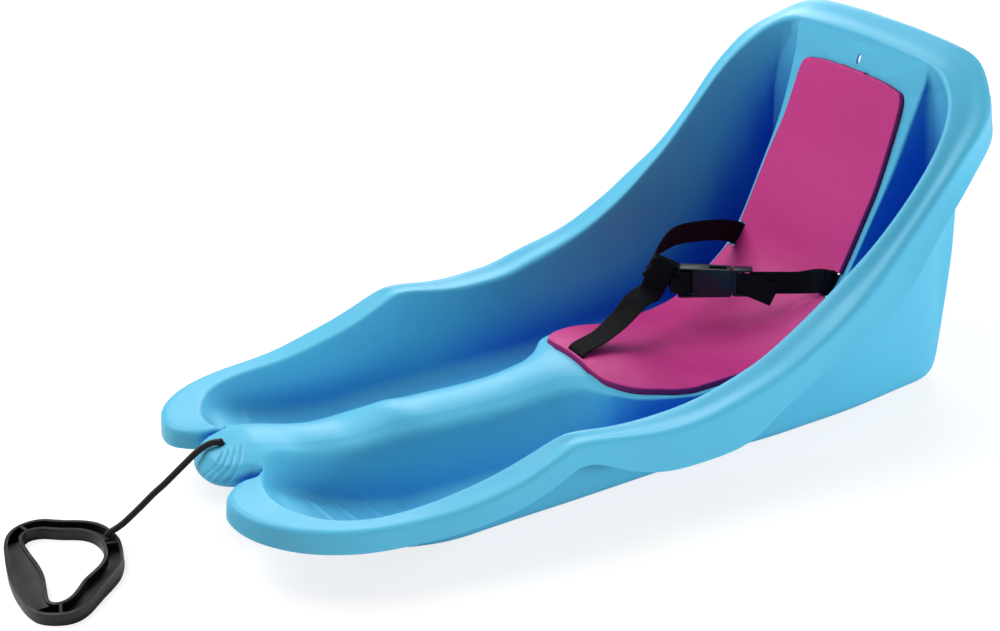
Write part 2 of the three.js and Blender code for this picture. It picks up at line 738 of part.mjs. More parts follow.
// The pad: rows along the spine and columns across, over the same places as the recess's floor
function padGeometry() {
  const across = padColumnShares;
  const inner = skinStops().filter((rib) => rib > padFrontRib && rib < padTopRib);
  const ribs = [padFrontRib + padEndRibs, ...inner, padTopRib - padEndRibs];
  const columns = across.length - 1;
  const rows = ribs.length;
  const layer = rows * across.length;
  const points = [];
  const faces = [];
  [padRise(), padRise() - padThickness].forEach((lift) => ribs.forEach((rib) => across.forEach((share) => {
    const edge = Math.abs(share) === 1 ? recessClearance * share : 0;
    points.push(seatPoint(rib, (padHalf(rib) + recessClearance) * share - edge, lift));
  })));
  const at = (i, k) => i * across.length + k;
  const quad = (a, b, c, d) => faces.push([a, b, c], [a, c, d]);
  for (let i = 0; i < rows - 1; i += 1) {
    for (let k = 0; k < columns; k += 1) {
      quad(at(i, k), at(i, k + 1), at(i + 1, k + 1), at(i + 1, k));
      quad(layer + at(i, k), layer + at(i + 1, k), layer + at(i + 1, k + 1), layer + at(i, k + 1));
    }
    quad(at(i + 1, 0), layer + at(i + 1, 0), layer + at(i, 0), at(i, 0));
    quad(at(i, columns), layer + at(i, columns), layer + at(i + 1, columns), at(i + 1, columns));
  }
  for (let k = 0; k < columns; k += 1) {
    quad(at(0, k + 1), at(0, k), layer + at(0, k), layer + at(0, k + 1));
    quad(at(rows - 1, k), at(rows - 1, k + 1), layer + at(rows - 1, k + 1), layer + at(rows - 1, k));
  }
  const waistNotch = waistSlotWidth + cutOverrun;
  const notchOffset = waistSlotOffset + cutOverrun / 2;
  return geometryOf(solidOf(meshGeometry(points, faces))
    .subtract(slotCutter(waistSlotRib, notchOffset, waistNotch, waistSlotHeight))
    .subtract(slotCutter(waistSlotRib, -notchOffset, waistNotch, waistSlotHeight))
    .subtract(slotCutter(crotchSlotRib, 0, crotchSlotWidth, crotchSlotLength)));
}

// Flat webbing along stops of [point, direction across], as one closed band
function webbingGeometry(stops, steps) {
  const path = new THREE.CatmullRomCurve3(stops.map((stop) => stop[0]), false, 'centripetal');
  const spans = stops.length - 1;
  const points = [];
  const faces = [];
  for (let k = 0; k <= steps; k += 1) {
    const t = k / steps;
    const near = Math.min(Math.floor(t * spans), spans - 1);
    const across = stops[near][1].clone().lerp(stops[near + 1][1], t * spans - near);
    const point = path.getPoint(t);
    const way = path.getTangent(t);
    across.addScaledVector(way, -across.dot(way)).normalize();
    const out = way.clone().cross(across);
    [[-1, -1], [1, -1], [1, 1], [-1, 1]].forEach(([wide, thick]) => {
      points.push(point.clone()
        .addScaledVector(across, (wide * webbingWidth) / 2)
        .addScaledVector(out, (thick * webbingThickness) / 2));
    });
    if (k > 0) {
      for (let side = 0; side < 4; side += 1) {
        const a = 4 * (k - 1) + side;
        const b = 4 * (k - 1) + ((side + 1) % 4);
        faces.push([a, b, b + 4], [a, b + 4, a + 4]);
      }
    }
  }
  const end = 4 * steps;
  faces.push([0, 3, 2], [0, 2, 1], [end, end + 1, end + 2], [end, end + 2, end + 3]);
  return meshGeometry(points, faces);
}

function stopFromShares([x, y, z, ...across]) {
  return [place(x, y, z), new THREE.Vector3(...across)];
}

// The bar behind a slot that the webbing is sewn round, with the webbing's end against it
function stopLift() {
  return -(recessDepth + skinWall + pieceGap + stopRadius);
}

function waistStops(side) {
  const ways = spineWays(waistSlotRib);
  const x = side * waistSlotOffset;
  const first = stopLift() + stopRadius + pieceGap;
  return [
    [seatPoint(waistSlotRib, x, first), ways.along],
    [seatPoint(waistSlotRib, x, 0), ways.along],
    [seatPoint(waistSlotRib, x, webbingWidth / 2), ways.along],
  ];
}

function buckleFrame() {
  const end = place(...buckleEndShares);
  const slot = seatPoint(waistSlotRib, waistSlotOffset, webbingWidth / 4);
  const along = slot.clone().sub(end).normalize();
  const facing = new THREE.Vector3(along.y, -along.x, 0).normalize();
  const up = facing.clone().cross(along);
  return new THREE.Matrix4().makeBasis(along, up, facing).setPosition(end);
}

// The frame of the crotch strap's loop: along the strap in it, up, and forward
function loopFrame() {
  const along = new THREE.Vector3(...loopWayShares).normalize();
  const up = new THREE.Vector3(0, 0, 1).addScaledVector(along, -along.z).normalize();
  const forward = along.clone().cross(up);
  return new THREE.Matrix4().makeBasis(along, up, forward).setPosition(place(...loopPlaceShares));
}

// The left waist strap: out of its slot, round in front of the child, through the loop, to the socket's bar
function waistStrapLeft() {
  const frame = buckleFrame();
  const up = new THREE.Vector3(0, 1, 0).transformDirection(frame);
  const front = barRadius + pieceGap + webbingThickness / 2;
  const onBar = [-barInset, barInset - barRadius, barInset]
    .map((a) => [new THREE.Vector3(a, 0, front).applyMatrix4(frame), up]);
  const loop = loopFrame();
  const loopUp = new THREE.Vector3(0, 1, 0).transformDirection(loop);
  const inLoop = strapInLoopShares.map((shares) => {
    const local = new THREE.Vector3(...shares).multiplyScalar(webbingWidth);
    return [local.applyMatrix4(loop), loopUp];
  });
  const stops = [...waistStops(-1), ...leftStrapShares.map(stopFromShares), ...inLoop, ...onBar];
  return webbingGeometry(stops, strapSteps.left);
}

// The right waist strap: out of its slot and straight to the plug's far bar
function plugBarPlace() {
  return socketLength + slideClearance + plugLength - plugBarWidth;
}

function waistStrapRight() {
  const frame = buckleFrame();
  const up = new THREE.Vector3(0, 1, 0).transformDirection(frame);
  const front = plugBarWidth / 2 + pieceGap + webbingThickness / 2;
  const stops = waistStops(1);
  const reach = stops[2][0].clone().applyMatrix4(frame.clone().invert()).x;
  const bar = plugBarPlace();
  const ahead = reach - bar;
  rightStrapShares.forEach((share) => {
    stops.push([new THREE.Vector3(bar + ahead * share, 0, front * (1 - share)).applyMatrix4(frame), up]);
  });
  return webbingGeometry(stops, strapSteps.right);
}

// The tail: from the plug's bars back along the strap, drooping
function strapTail() {
  const frame = buckleFrame();
  const front = plugBarWidth / 2 + 2 * pieceGap + 1.5 * webbingThickness;
  const stops = tailShares.map((share) => {
    const local = new THREE.Vector3(
      plugBarPlace() + share * tailLength,
      -share * share * tailDroop,
      front + share * share * webbingThickness,
    );
    const across = new THREE.Vector3((share * tailDroop) / tailLength, 1, 0);
    return [local.applyMatrix4(frame), across.transformDirection(frame)];
  });
  return webbingGeometry(stops, strapSteps.tail);
}

// The crotch strap: up from its slot, and a flat sewn loop round the left strap at its upper end
function crotchStrap() {
  const ways = spineWays(crotchSlotRib);
  const across = new THREE.Vector3(1, 0, 0);
  const first = stopLift() + stopRadius + pieceGap;
  const stops = [
    [seatPoint(crotchSlotRib, 0, first), across],
    [seatPoint(crotchSlotRib, 0, 0), across],
    [seatPoint(crotchSlotRib, 0, padRise() + webbingThickness), across],
    ...crotchStrapShares.map(stopFromShares),
  ];
  const loop = loopFrame();
  const alongLoop = new THREE.Vector3(1, 0, 0).transformDirection(loop);
  const layer = webbingThickness + 3 * pieceGap;
  const rise = webbingWidth * loopRiseShare;
  const foot = webbingWidth * loopFootShare;
  [
    [-foot, layer], [-rise, layer], [0, layer], [rise, layer], [rise + layer, 0], [rise, -layer],
    [0, -layer], [-rise, -layer], [-foot, layer - webbingThickness - pieceGap],
  ].forEach(([up, forward]) => {
    stops.push([new THREE.Vector3(0, up, forward).applyMatrix4(loop), alongLoop]);
  });
  return webbingGeometry(stops, strapSteps.crotch);
}

// The bar behind a slot: a round rod, square to the webbing
function strapStop(rib, x, length, upright) {
  const rod = new THREE.CylinderGeometry(stopRadius, stopRadius, length, 12);
  if (!upright) rod.rotateZ(Math.PI / 2);
  const crown = upright ? 0 : seatPoint(rib, x, 0).z - seatPoint(rib, x + length / 2, 0).z;
  return rod.applyMatrix4(seatFrame(rib, x, stopLift() - crown));
}

// A flat plate with a rounded outline, its thickness centred on z = 0
function plateGeometry(outline, thickness, holes = []) {
  const shape = new THREE.Shape(outline);
  shape.holes.push(...holes.map((hole) => new THREE.Path(hole)));
  return new THREE.ExtrudeGeometry(shape, { depth: thickness, bevelEnabled: false, curveSegments: 4 })
    .translate(0, 0, -thickness / 2);
}

function roundedOutline(corners, radius, segments) {
  const outline = [];
  corners.forEach((corner, k) => {
    const before = corners[(k + corners.length - 1) % corners.length];
    const after = corners[(k + 1) % corners.length];
    const start = corner.clone().add(before.clone().sub(corner).setLength(radius));
    const end = corner.clone().add(after.clone().sub(corner).setLength(radius));
    outline.push(...new THREE.QuadraticBezierCurve(start, corner, end).getPoints(segments));
  });
  return outline;
}

function rectangle(left, right, low, high) {
  return [[left, low], [right, low], [right, high], [left, high]].map((p) => new THREE.Vector2(...p));
}

// The socket: a hollow plate, open at its mouth, with a window for each prong and a bar for the strap
const cavityHalf = socketMouthHeight / 2 - socketWall;
const cavityThickness = socketThickness - 2 * socketWall;
function socketGeometry() {
  const half = socketHeight / 2;
  const mouthHalf = socketMouthHeight / 2;
  const outline = [[0, -half], [socketLength, -mouthHalf], [socketLength, mouthHalf], [0, half]]
    .map((p) => new THREE.Vector2(...p));
  const body = plateGeometry(roundedOutline(outline, socketCorner, 4), socketThickness);
  const cavity = boxSolid(
    cavityLength + cutOverrun, 2 * cavityHalf, cavityThickness,
    moved(socketLength - cavityLength / 2 + cutOverrun / 2, 0, 0),
  );
  const windowMiddle = socketLength - releaseWindowStart - releaseWindowLength / 2;
  const window = boxSolid(
    releaseWindowLength, socketHeight + cutOverrun, prongThickness + 2 * slideClearance,
    moved(windowMiddle, 0, 0),
  );
  const strapHole = boxSolid(
    strapWindow, webbingWidth + 2 * slotClearance, socketThickness + cutOverrun,
    moved(barInset + barRadius + strapWindow / 2, 0, 0),
  );
  const barRelief = boxSolid(
    barInset + barRadius + cutOverrun, webbingWidth + 2 * slotClearance, socketThickness + cutOverrun,
    moved((barInset + barRadius - cutOverrun) / 2, 0, 0),
  );
  const bar = new THREE.CylinderGeometry(barRadius, barRadius, socketHeight - socketWall, 12)
    .translate(barInset, 0, 0);
  return geometryOf(solidOf(body).subtract(cavity).subtract(window).subtract(strapHole)
    .subtract(barRelief).add(solidOf(bar)));
}

// The plug: a head with two strap bars, a neck into the socket and a tongue between the prongs
const plugHalf = socketMouthHeight / 2;
const prongRoot = cavityHalf - slideClearance - prongHeight / 2;
function plugGeometry() {
  const start = socketLength + slideClearance;
  const head = plateGeometry(
    roundedOutline(rectangle(start, start + plugLength, -plugHalf, plugHalf), socketCorner / 2, 3),
    socketThickness - socketWall,
  );
  const tongueStart = socketLength - cavityLength + prongHeight;
  const tongueEnd = start + 2 * prongHeight;
  const tongue = plateGeometry(
    rectangle(tongueStart, tongueEnd, -tongueHeight / 2, tongueHeight / 2),
    cavityThickness - 2 * slideClearance,
  );
  const slotLength = (plugLength - 3 * plugBarWidth) / 2;
  const slotHeight = webbingWidth + 2 * plugSlotClearance;
  const firstSlot = start + plugBarWidth + slotLength / 2;
  const strapSlot = (middle) => boxSolid(
    slotLength, slotHeight, socketThickness + cutOverrun, moved(middle, 0, 0),
  );
  const reliefLength = plugLength - plugBarWidth + cutOverrun;
  const reliefDepth = socketThickness - socketWall - plugBarWidth;
  const relief = boxSolid(
    reliefLength, slotHeight, reliefDepth,
    moved(start + plugBarWidth + reliefLength / 2, 0, (plugBarWidth + reliefDepth) / 2),
  );
  const seatHeight = 2 * (prongRoot + prongHeight / 2 + slideClearance);
  const prongSeat = boxSolid(
    2 * prongHeight, seatHeight, prongThickness + 2 * slideClearance, moved(start, 0, 0),
  );
  return geometryOf(solidOf(head).subtract(prongSeat).add(solidOf(tongue))
    .subtract(strapSlot(firstSlot)).subtract(strapSlot(firstSlot + slotLength + plugBarWidth))
    .subtract(relief));
}

// A prong: a sprung arm with its button in the socket's window; side is 1 above and -1 below
function prongGeometry(side) {
  const root = socketLength + slideClearance + prongHeight - pieceGap;
  const windowEnd = socketLength - releaseWindowStart - slideClearance;
  const windowBack = windowEnd - releaseWindowLength + 2 * slideClearance;
  const inner = prongRoot - prongHeight / 2;
  const outer = prongRoot + prongHeight / 2;
  const waist = outer - prongButton;
  const outline = [
    [root, inner], [root, waist], [windowEnd, waist], [windowEnd - prongButton, outer],
    [windowBack + prongButton, outer], [windowBack, waist], [root - prongLength, waist - prongButton / 2],
    [root - prongLength, inner],
  ].map(([a, b]) => new THREE.Vector2(a, b * side));
  if (side > 0) outline.reverse();
  return plateGeometry(outline, prongThickness);
}

// The handle lies flat, its rope end at the origin, its grip towards -Y
function handleOutline(shares, spacing) {
  const stops = shares.map(([x, y]) => new THREE.Vector3((x * handleWidth) / 2, y * handleLength, 0));
  const curve = new THREE.CatmullRomCurve3(stops, true, 'centripetal');
  return curve.getSpacedPoints(spacing).slice(0, spacing).map((p) => new THREE.Vector2(p.x, p.y));
}

// The same outline drawn in by a distance; a negative distance widens it
function drawnIn(outline, distance) {
  return outline.map((point, k) => {
    const before = outline[(k + outline.length - 1) % outline.length];
    const after = outline[(k + 1) % outline.length];
    const way = after.clone().sub(before).normalize();
    return new THREE.Vector2(point.x - way.y * distance, point.y + way.x * distance);
  });
}

function counterClockwise(outline) {
  return THREE.ShapeUtils.area(outline) < 0 ? outline.slice().reverse() : outline;
}

const outlineSteps = 48;
const holeSteps = 36;
function handleGeometry() {
  const outer = counterClockwise(handleOutline(handleOutlineShares, outlineSteps));
  const hole = counterClockwise(handleOutline(handleHoleShares, holeSteps));
  const body = plateGeometry(outer, handleHeight, [hole]);
  const channel = plateGeometry(drawnIn(outer, handleWall), handleHeight, [drawnIn(hole, -handleWall)]);
  const shallow = solidOf(channel.clone().translate(0, 0, handleHeight - gripRecess));
  const deep = solidOf(channel.clone().translate(0, 0, handleHeight - armRecess));
  const web = boxSolid(
    gripWebWidth, 2 * gripWebLength, 2 * handleHeight, moved(0, -handleLength, 0),
  );
  let recess = shallow.add(deep.subtract(web));
  crossRibShares.forEach(([x, y, turn]) => {
    const matrix = new THREE.Matrix4().makeRotationZ(turn)
      .setPosition((x * handleWidth) / 2, y * handleLength, 0);
    recess = recess.subtract(boxSolid(handleWidth / 5, crossRib, 2 * handleHeight, matrix));
  });
  return geometryOf(solidOf(body).subtract(recess).translate(0, 0, handleHeight / 2));
}

// The rope: a round section swept along its hand-chosen points
function ropeGeometry() {
  const stops = ropePoints.map((point) => new THREE.Vector3(...point));
  const path = new THREE.CatmullRomCurve3(stops, false, 'centripetal');
  const section = [];
  for (let k = 0; k < ropeSides; k += 1) {
    const angle = (2 * Math.PI * k) / ropeSides;
    section.push(new THREE.Vector2(Math.cos(angle), Math.sin(angle)).multiplyScalar(ropeDiameter / 2));
  }
  return new THREE.ExtrudeGeometry(new THREE.Shape(section), {
    steps: ropeSteps, bevelEnabled: false, extrudePath: path,
  });
}

// The knot under the nose, with the rope's stub up through the hole to a round end at the pivot
function ropeKnotGeometry() {
  const frame = seatFrame(ropeHoleRib, 0, 0);
  const pivotLift = ropeDiameter / 2 + pieceGap;
  const ball = new THREE.SphereGeometry(knotRadius, 16, 10)
    .translate(0, 0, -(skinWall + pieceGap + knotRadius));
  const stubLength = skinWall + pivotLift + pieceGap + knotRadius;
  const stub = new THREE.CylinderGeometry(ropeDiameter / 2, ropeDiameter / 2, stubLength, 12)
    .rotateX(Math.PI / 2).translate(0, 0, pivotLift - stubLength / 2);
  const dome = new THREE.SphereGeometry(ropeDiameter / 2, 12, 8)
    .rotateX(Math.PI / 2).translate(0, 0, pivotLift);
  const solid = solidOf(ball).add(solidOf(stub)).add(solidOf(dome));
  return geometryOf(solid).applyMatrix4(frame);
}

function handleKnotGeometry() {
  return new THREE.SphereGeometry(handleKnotRadius, 14, 10);
}

function piece(name, geometry, [color, roughness]) {
  const mesh = new THREE.Mesh(geometry, new THREE.MeshStandardMaterial({ color, roughness, metalness: 0 }));
  mesh.name = name;
  return mesh;
}

function buckleGroup() {
  const group = new THREE.Group();
  group.applyMatrix4(buckleFrame());
  group.add(piece('buckle_socket', socketGeometry(), finishes.plastic));
  group.add(piece('buckle_plug', plugGeometry(), finishes.plastic));
  group.add(piece('release_prong_upper', prongGeometry(1), finishes.plastic));
  group.add(piece('release_prong_lower', prongGeometry(-1), finishes.plastic));
  return group;
}

function webbingGroup() {
  const group = new THREE.Group();
  const strap = (name, geometry) => group.add(piece(name, geometry, finishes.webbing));
  strap('crotch_strap', crotchStrap());
  strap('waist_strap_left', waistStrapLeft());
  strap('waist_strap_right', waistStrapRight());
  strap('strap_tail', strapTail());
  return group;
}

function stopsGroup() {
  const group = new THREE.Group();
  const waistLength = waistSlotHeight + 2 * stopOverhang;
  const crotchLength = crotchSlotWidth + 2 * stopOverhang;
  const rods = {
    strap_stop_left: strapStop(waistSlotRib, -waistSlotOffset, waistLength, true),
    strap_stop_right: strapStop(waistSlotRib, waistSlotOffset, waistLength, true),
    strap_stop_crotch: strapStop(crotchSlotRib, 0, crotchLength, false),
  };
  Object.entries(rods).forEach(([name, rod]) => group.add(piece(name, rod, finishes.plastic)));
  return group;
}

function towGroup() {
  const group = new THREE.Group();
  const [x, y] = ropePoints[ropePoints.length - 1];
  const knot = piece('handle_knot', handleKnotGeometry(), finishes.rope);
  knot.position.set(x, y, handleHeight - armRecess + handleKnotRadius + pieceGap);
  const handle = piece('pull_handle', handleGeometry(), finishes.plastic);
  const [mouthX, mouthY] = handleMouthShares;
  handle.position.set(x - (mouthX * handleWidth) / 2, y - mouthY * handleLength, 0);
  group.add(piece('tow_rope', ropeGeometry(), finishes.rope), knot, handle);
  return group;
}

function sled() {
  const group = new THREE.Group();
  const shell = piece('sled_shell', shellGeometry(), finishes.shell);
  shell.geometry.computeBoundingBox();
  const { min, max } = shell.geometry.boundingBox;
  group.position.y = -(min.y + max.y) / 2;
  group.add(shell);
  group.add(piece('seat_pad', padGeometry(), finishes.pad));
  group.add(piece('rope_knot', ropeKnotGeometry(), finishes.rope));
  group.add(stopsGroup(), webbingGroup(), buckleGroup(), towGroup());
  return group;
}

export default sled();
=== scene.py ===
"""The looks of the baby pull sled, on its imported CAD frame. Sizes are in millimetres up to the meshes."""
import math

import bmesh
import bpy
import numpy as np
from mathutils import Matrix, Vector


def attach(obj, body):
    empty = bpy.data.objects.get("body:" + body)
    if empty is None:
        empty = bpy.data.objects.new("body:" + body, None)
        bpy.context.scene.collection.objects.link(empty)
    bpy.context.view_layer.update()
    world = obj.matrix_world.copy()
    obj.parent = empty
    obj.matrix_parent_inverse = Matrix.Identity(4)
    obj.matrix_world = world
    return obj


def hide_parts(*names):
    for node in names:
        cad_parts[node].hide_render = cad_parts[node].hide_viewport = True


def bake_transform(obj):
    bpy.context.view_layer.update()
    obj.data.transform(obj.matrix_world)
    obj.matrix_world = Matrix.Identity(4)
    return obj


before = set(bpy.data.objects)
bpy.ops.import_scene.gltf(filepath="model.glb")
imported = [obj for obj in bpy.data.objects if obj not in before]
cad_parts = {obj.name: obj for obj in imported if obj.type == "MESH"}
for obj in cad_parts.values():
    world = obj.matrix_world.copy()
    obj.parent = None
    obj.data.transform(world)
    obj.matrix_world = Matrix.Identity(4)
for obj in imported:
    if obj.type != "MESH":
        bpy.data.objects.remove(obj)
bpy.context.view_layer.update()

MM = 0.001
# The part's source moves the whole sled along Y by this, so that its middle is over the origin
SHIFT_Y = 2.034
SHIFT = np.array([0, SHIFT_Y, 0])
# The camera as solved from the photograph: its place, its turn about the sled and how far it looks down
CAMERA_PLACE = (1.143, -0.77496, 0.8127)
CAMERA_TURN, CAMERA_RISE = math.radians(59), math.radians(26.9)
CAMERA_LENS, CAMERA_SENSOR = 56.52, 36


def linked(name, data):
    """A new object in the scene."""
    thing = bpy.data.objects.new(name, data)
    bpy.context.collection.objects.link(thing)
    return thing


def frame_at(place, x, y, z):
    """A frame from its origin and the ways of its axes."""
    turn = Matrix((Vector(x), Vector(y), Vector(z))).transposed().to_4x4()
    return Matrix.Translation(Vector(place)) @ turn


# Camera
def make_camera():
    data = bpy.data.cameras.new("camera")
    data.lens, data.sensor_width = CAMERA_LENS, CAMERA_SENSOR
    data.clip_start, data.clip_end = 0.01, 100
    camera = linked("camera", data)
    level = math.cos(CAMERA_RISE)
    back = Vector((
        math.sin(CAMERA_TURN) * level, -math.cos(CAMERA_TURN) * level, math.sin(CAMERA_RISE)
    ))
    right = Vector((math.cos(CAMERA_TURN), math.sin(CAMERA_TURN), 0))
    camera.matrix_world = frame_at(CAMERA_PLACE, right, back.cross(right), back)
    bpy.context.scene.camera = camera


make_camera()

# Sizes and tables, as in the part's source
SLED_LENGTH = 800
SLED_HALF_WIDTH = 196
SLED_HEIGHT = 357
SKIN_WALL = 3
RIM_BAND = 37
RIM_DROP = 13
SKIRT_DEPTH = 46
SHOULDER_FILLET = 22
WELL_FILLET = 10
RUNNER_FILLET = 18
RIM_FILLET = 4.5
SKIRT_FILLET = 5.5
PIECE_GAP = 0.3
PAD_MARGIN = 6
PAD_THICKNESS = 8
RECESS_DEPTH = 3
RECESS_CLEARANCE = 0.6
RECESS_SLOPE = 1.2
PAD_GAP = 0.45
WEBBING_WIDTH = 25
WEBBING_THICKNESS = 1.5
SLOT_CLEARANCE = 2.4
WAIST_SLOT_INSET = 7.4
WAIST_SLOT_HEIGHT = 29
WAIST_SLOT_WIDTH = 7
CROTCH_SLOT_WIDTH = 28
CROTCH_SLOT_LENGTH = 5
ROPE_DIAMETER = 6
ROPE_HOLE_CLEARANCE = 0.5
KNOT_RADIUS = 7
HANGING_HOLE_WIDTH = 5
HANGING_HOLE_HEIGHT = 11
HANDLE_WIDTH = 150
HANDLE_LENGTH = 100.5
HANDLE_HEIGHT = 11.5
HANDLE_WALL = 3
GRIP_RECESS = 3
ARM_RECESS = 8.5
GRIP_WEB_WIDTH = 106
GRIP_WEB_LENGTH = 33
CROSS_RIB = 2.5
HANDLE_KNOT_RADIUS = 3.4
SOCKET_LENGTH = 56
SOCKET_HEIGHT = 34
SOCKET_MOUTH_HEIGHT = 30
SOCKET_THICKNESS = 13
SOCKET_WALL = 2.5
SOCKET_CORNER = 4
CAVITY_LENGTH = 38
BAR_RADIUS = 2.2
BAR_INSET = 5
STRAP_WINDOW = 8
RELEASE_WINDOW_START = 6
RELEASE_WINDOW_LENGTH = 18
PLUG_LENGTH = 20
PLUG_BAR_WIDTH = 3.5
PRONG_THICKNESS = 6
SLIDE_CLEARANCE = 0.35
TAIL_LENGTH = 30
PAD_FRONT_RIB = 23.72
PAD_TOP_RIB = 42.5
ROPE_HOLE_RIB = 1.35
CROTCH_SLOT_RIB = 23.93
WAIST_SLOT_RIB = 35.65
HANGING_HOLE_RIB = 43.2
LOOP_RISE_SHARE = 0.57
LOOP_FOOT_SHARE = 0.9
LAST_NOSE_RIB = 4
FIRST_TOP_RIB = 43
FILLET_MOST_SHARE = 0.46
FILLET_LEAST_SHARE = 0.15
TANGENT_REACH = 0.3
RIB_SHARES = [
    [0, -0.491, 0.218, -0.484, 0.228], [0.092, -0.487, 0.218, -0.475, 0.233],
    [0.148, -0.472, 0.217, -0.465, 0.238], [0.173, -0.454, 0.216, -0.453, 0.243],
    [0.214, -0.444, 0.21, -0.44, 0.243], [0.255, -0.449, 0.202, -0.429, 0.239],
    [0.306, -0.4575, 0.199, -0.419, 0.235], [0.398, -0.459, 0.194, -0.409, 0.228],
    [0.51, -0.45, 0.191, -0.399, 0.221], [0.602, -0.436, 0.189, -0.389, 0.217],
    [0.673, -0.417, 0.185, -0.379, 0.213], [0.724, -0.39, 0.181, -0.366, 0.207],
    [0.75, -0.361, 0.178, -0.349, 0.199], [0.76, -0.325, 0.179, -0.323, 0.191],
    [0.77, -0.29, 0.188, -0.294, 0.197], [0.781, -0.253, 0.203, -0.265, 0.206],
    [0.788, -0.215, 0.224, -0.223, 0.19], [0.801, -0.179, 0.254, -0.182, 0.183],
    [0.811, -0.155, 0.273, -0.155, 0.179], [0.821, -0.14, 0.276, -0.135, 0.177],
    [0.824, -0.12, 0.27, -0.115, 0.176], [0.819, -0.095, 0.259, -0.09, 0.179],
    [0.809, -0.062, 0.249, -0.058, 0.185], [0.806, -0.028, 0.246, -0.028, 0.188],
    [0.806, 0.009, 0.249, 0, 0.185], [0.811, 0.036, 0.259, 0.028, 0.174],
    [0.816, 0.064, 0.275, 0.055, 0.16], [0.816, 0.092, 0.293, 0.08, 0.143],
    [0.816, 0.121, 0.315, 0.11, 0.127], [0.811, 0.151, 0.348, 0.14, 0.119],
    [0.809, 0.181, 0.387, 0.172, 0.118], [0.809, 0.21, 0.431, 0.204, 0.126],
    [0.814, 0.237, 0.479, 0.235, 0.146], [0.819, 0.265, 0.529, 0.265, 0.182],
    [0.824, 0.291, 0.585, 0.292, 0.227], [0.827, 0.315, 0.644, 0.316, 0.275],
    [0.824, 0.338, 0.703, 0.334, 0.336], [0.814, 0.36, 0.762, 0.349, 0.412],
    [0.786, 0.38, 0.815, 0.366, 0.496], [0.745, 0.396, 0.86, 0.38, 0.569],
    [0.689, 0.409, 0.899, 0.394, 0.647], [0.622, 0.417, 0.927, 0.405, 0.731],
    [0.551, 0.423, 0.943, 0.416, 0.832], [0.485, 0.426, 0.95, 0.422, 0.885],
    [0.306, 0.429, 0.957, 0.427, 0.925], [0, 0.431, 0.961, 0.429, 0.937],
]
SHOULDER_SHARES = [
    [5, 0.153, -0.431, 0.224], [7, 0.158, -0.41, 0.21], [10, 0.163, -0.38, 0.185],
    [12, 0.163, -0.349, 0.171], [14, 0.168, -0.294, 0.168], [16, 0.173, -0.223, 0.16],
    [20, 0.173, -0.115, 0.148], [22, 0.184, -0.059, 0.157], [23, 0.23, -0.03, 0.162],
    [24, 0.347, -0.001, 0.155], [25, 0.408, 0.026, 0.143], [26, 0.436, 0.055, 0.133],
    [27, 0.444, 0.08, 0.122], [28, 0.444, 0.11, 0.111], [30, 0.444, 0.172, 0.111],
    [31, 0.444, 0.204, 0.12], [32, 0.444, 0.235, 0.141], [33, 0.444, 0.265, 0.179],
    [34, 0.444, 0.292, 0.224], [35, 0.444, 0.316, 0.273], [36, 0.444, 0.334, 0.335],
    [38, 0.449, 0.366, 0.496], [40, 0.457, 0.396, 0.664], [41, 0.464, 0.409, 0.765],
    [42, 0.477, 0.42, 0.863],
]
WELL_INNER_SHARES = [
    [5, 0.23, -0.438, 0.179], [6, 0.235, -0.431, 0.148], [7, 0.235, -0.422, 0.132],
    [8, 0.235, -0.414, 0.118], [10, 0.245, -0.393, 0.088], [12, 0.26, -0.356, 0.05],
    [13, 0.276, -0.328, 0.031], [14, 0.291, -0.295, 0.015], [15, 0.306, -0.259, 0],
    [18, 0.327, -0.155, 0], [20, 0.337, -0.113, 0], [22, 0.357, -0.06, 0], [23, 0.383, -0.033, 0],
    [24, 0.434, -0.004, 0], [25, 0.469, 0.024, 0], [26, 0.487, 0.054, 0], [27, 0.495, 0.083, 0],
    [28, 0.5, 0.117, 0], [30, 0.5, 0.188, 0], [31, 0.5, 0.233, 0], [32, 0.5, 0.282, 0],
    [33, 0.5, 0.333, 0], [34, 0.5, 0.383, 0], [35, 0.5, 0.43, 0], [36, 0.5, 0.464, 0.014],
    [37, 0.5, 0.475, 0.073], [38, 0.5, 0.468, 0.252], [40, 0.492, 0.449, 0.602],
    [42, 0.49, 0.431, 0.877],
]
WELL_OUTER_SHARES = [
    [5, 0.25, -0.445, 0.176], [6, 0.316, -0.445, 0.16], [7, 0.418, -0.443, 0.157],
    [8, 0.5, -0.434, 0.148], [9, 0.566, -0.421, 0.132], [10, 0.617, -0.403, 0.106],
    [11, 0.653, -0.379, 0.076], [12, 0.668, -0.354, 0.05], [13, 0.676, -0.324, 0.028],
    [14, 0.681, -0.29, 0.014], [15, 0.686, -0.255, 0], [20, 0.694, -0.119, 0],
    [24, 0.699, 0.006, 0], [28, 0.715, 0.121, 0], [30, 0.735, 0.188, 0], [32, 0.735, 0.278, 0],
    [34, 0.705, 0.375, 0], [35, 0.685, 0.42, 0], [36, 0.665, 0.451, 0.017],
    [37, 0.638, 0.464, 0.073], [38, 0.668, 0.458, 0.246], [39, 0.699, 0.45, 0.42],
    [40, 0.704, 0.443, 0.583], [41, 0.679, 0.436, 0.734], [42, 0.571, 0.431, 0.874],
]
SHELF_SHARES = [
    [0, 0.4, 0.6, 0.8], [4, 0.7, 0.88, 0.94], [43, 0.94, 0.96, 0.98], [45, 0.4, 0.6, 0.8],
]
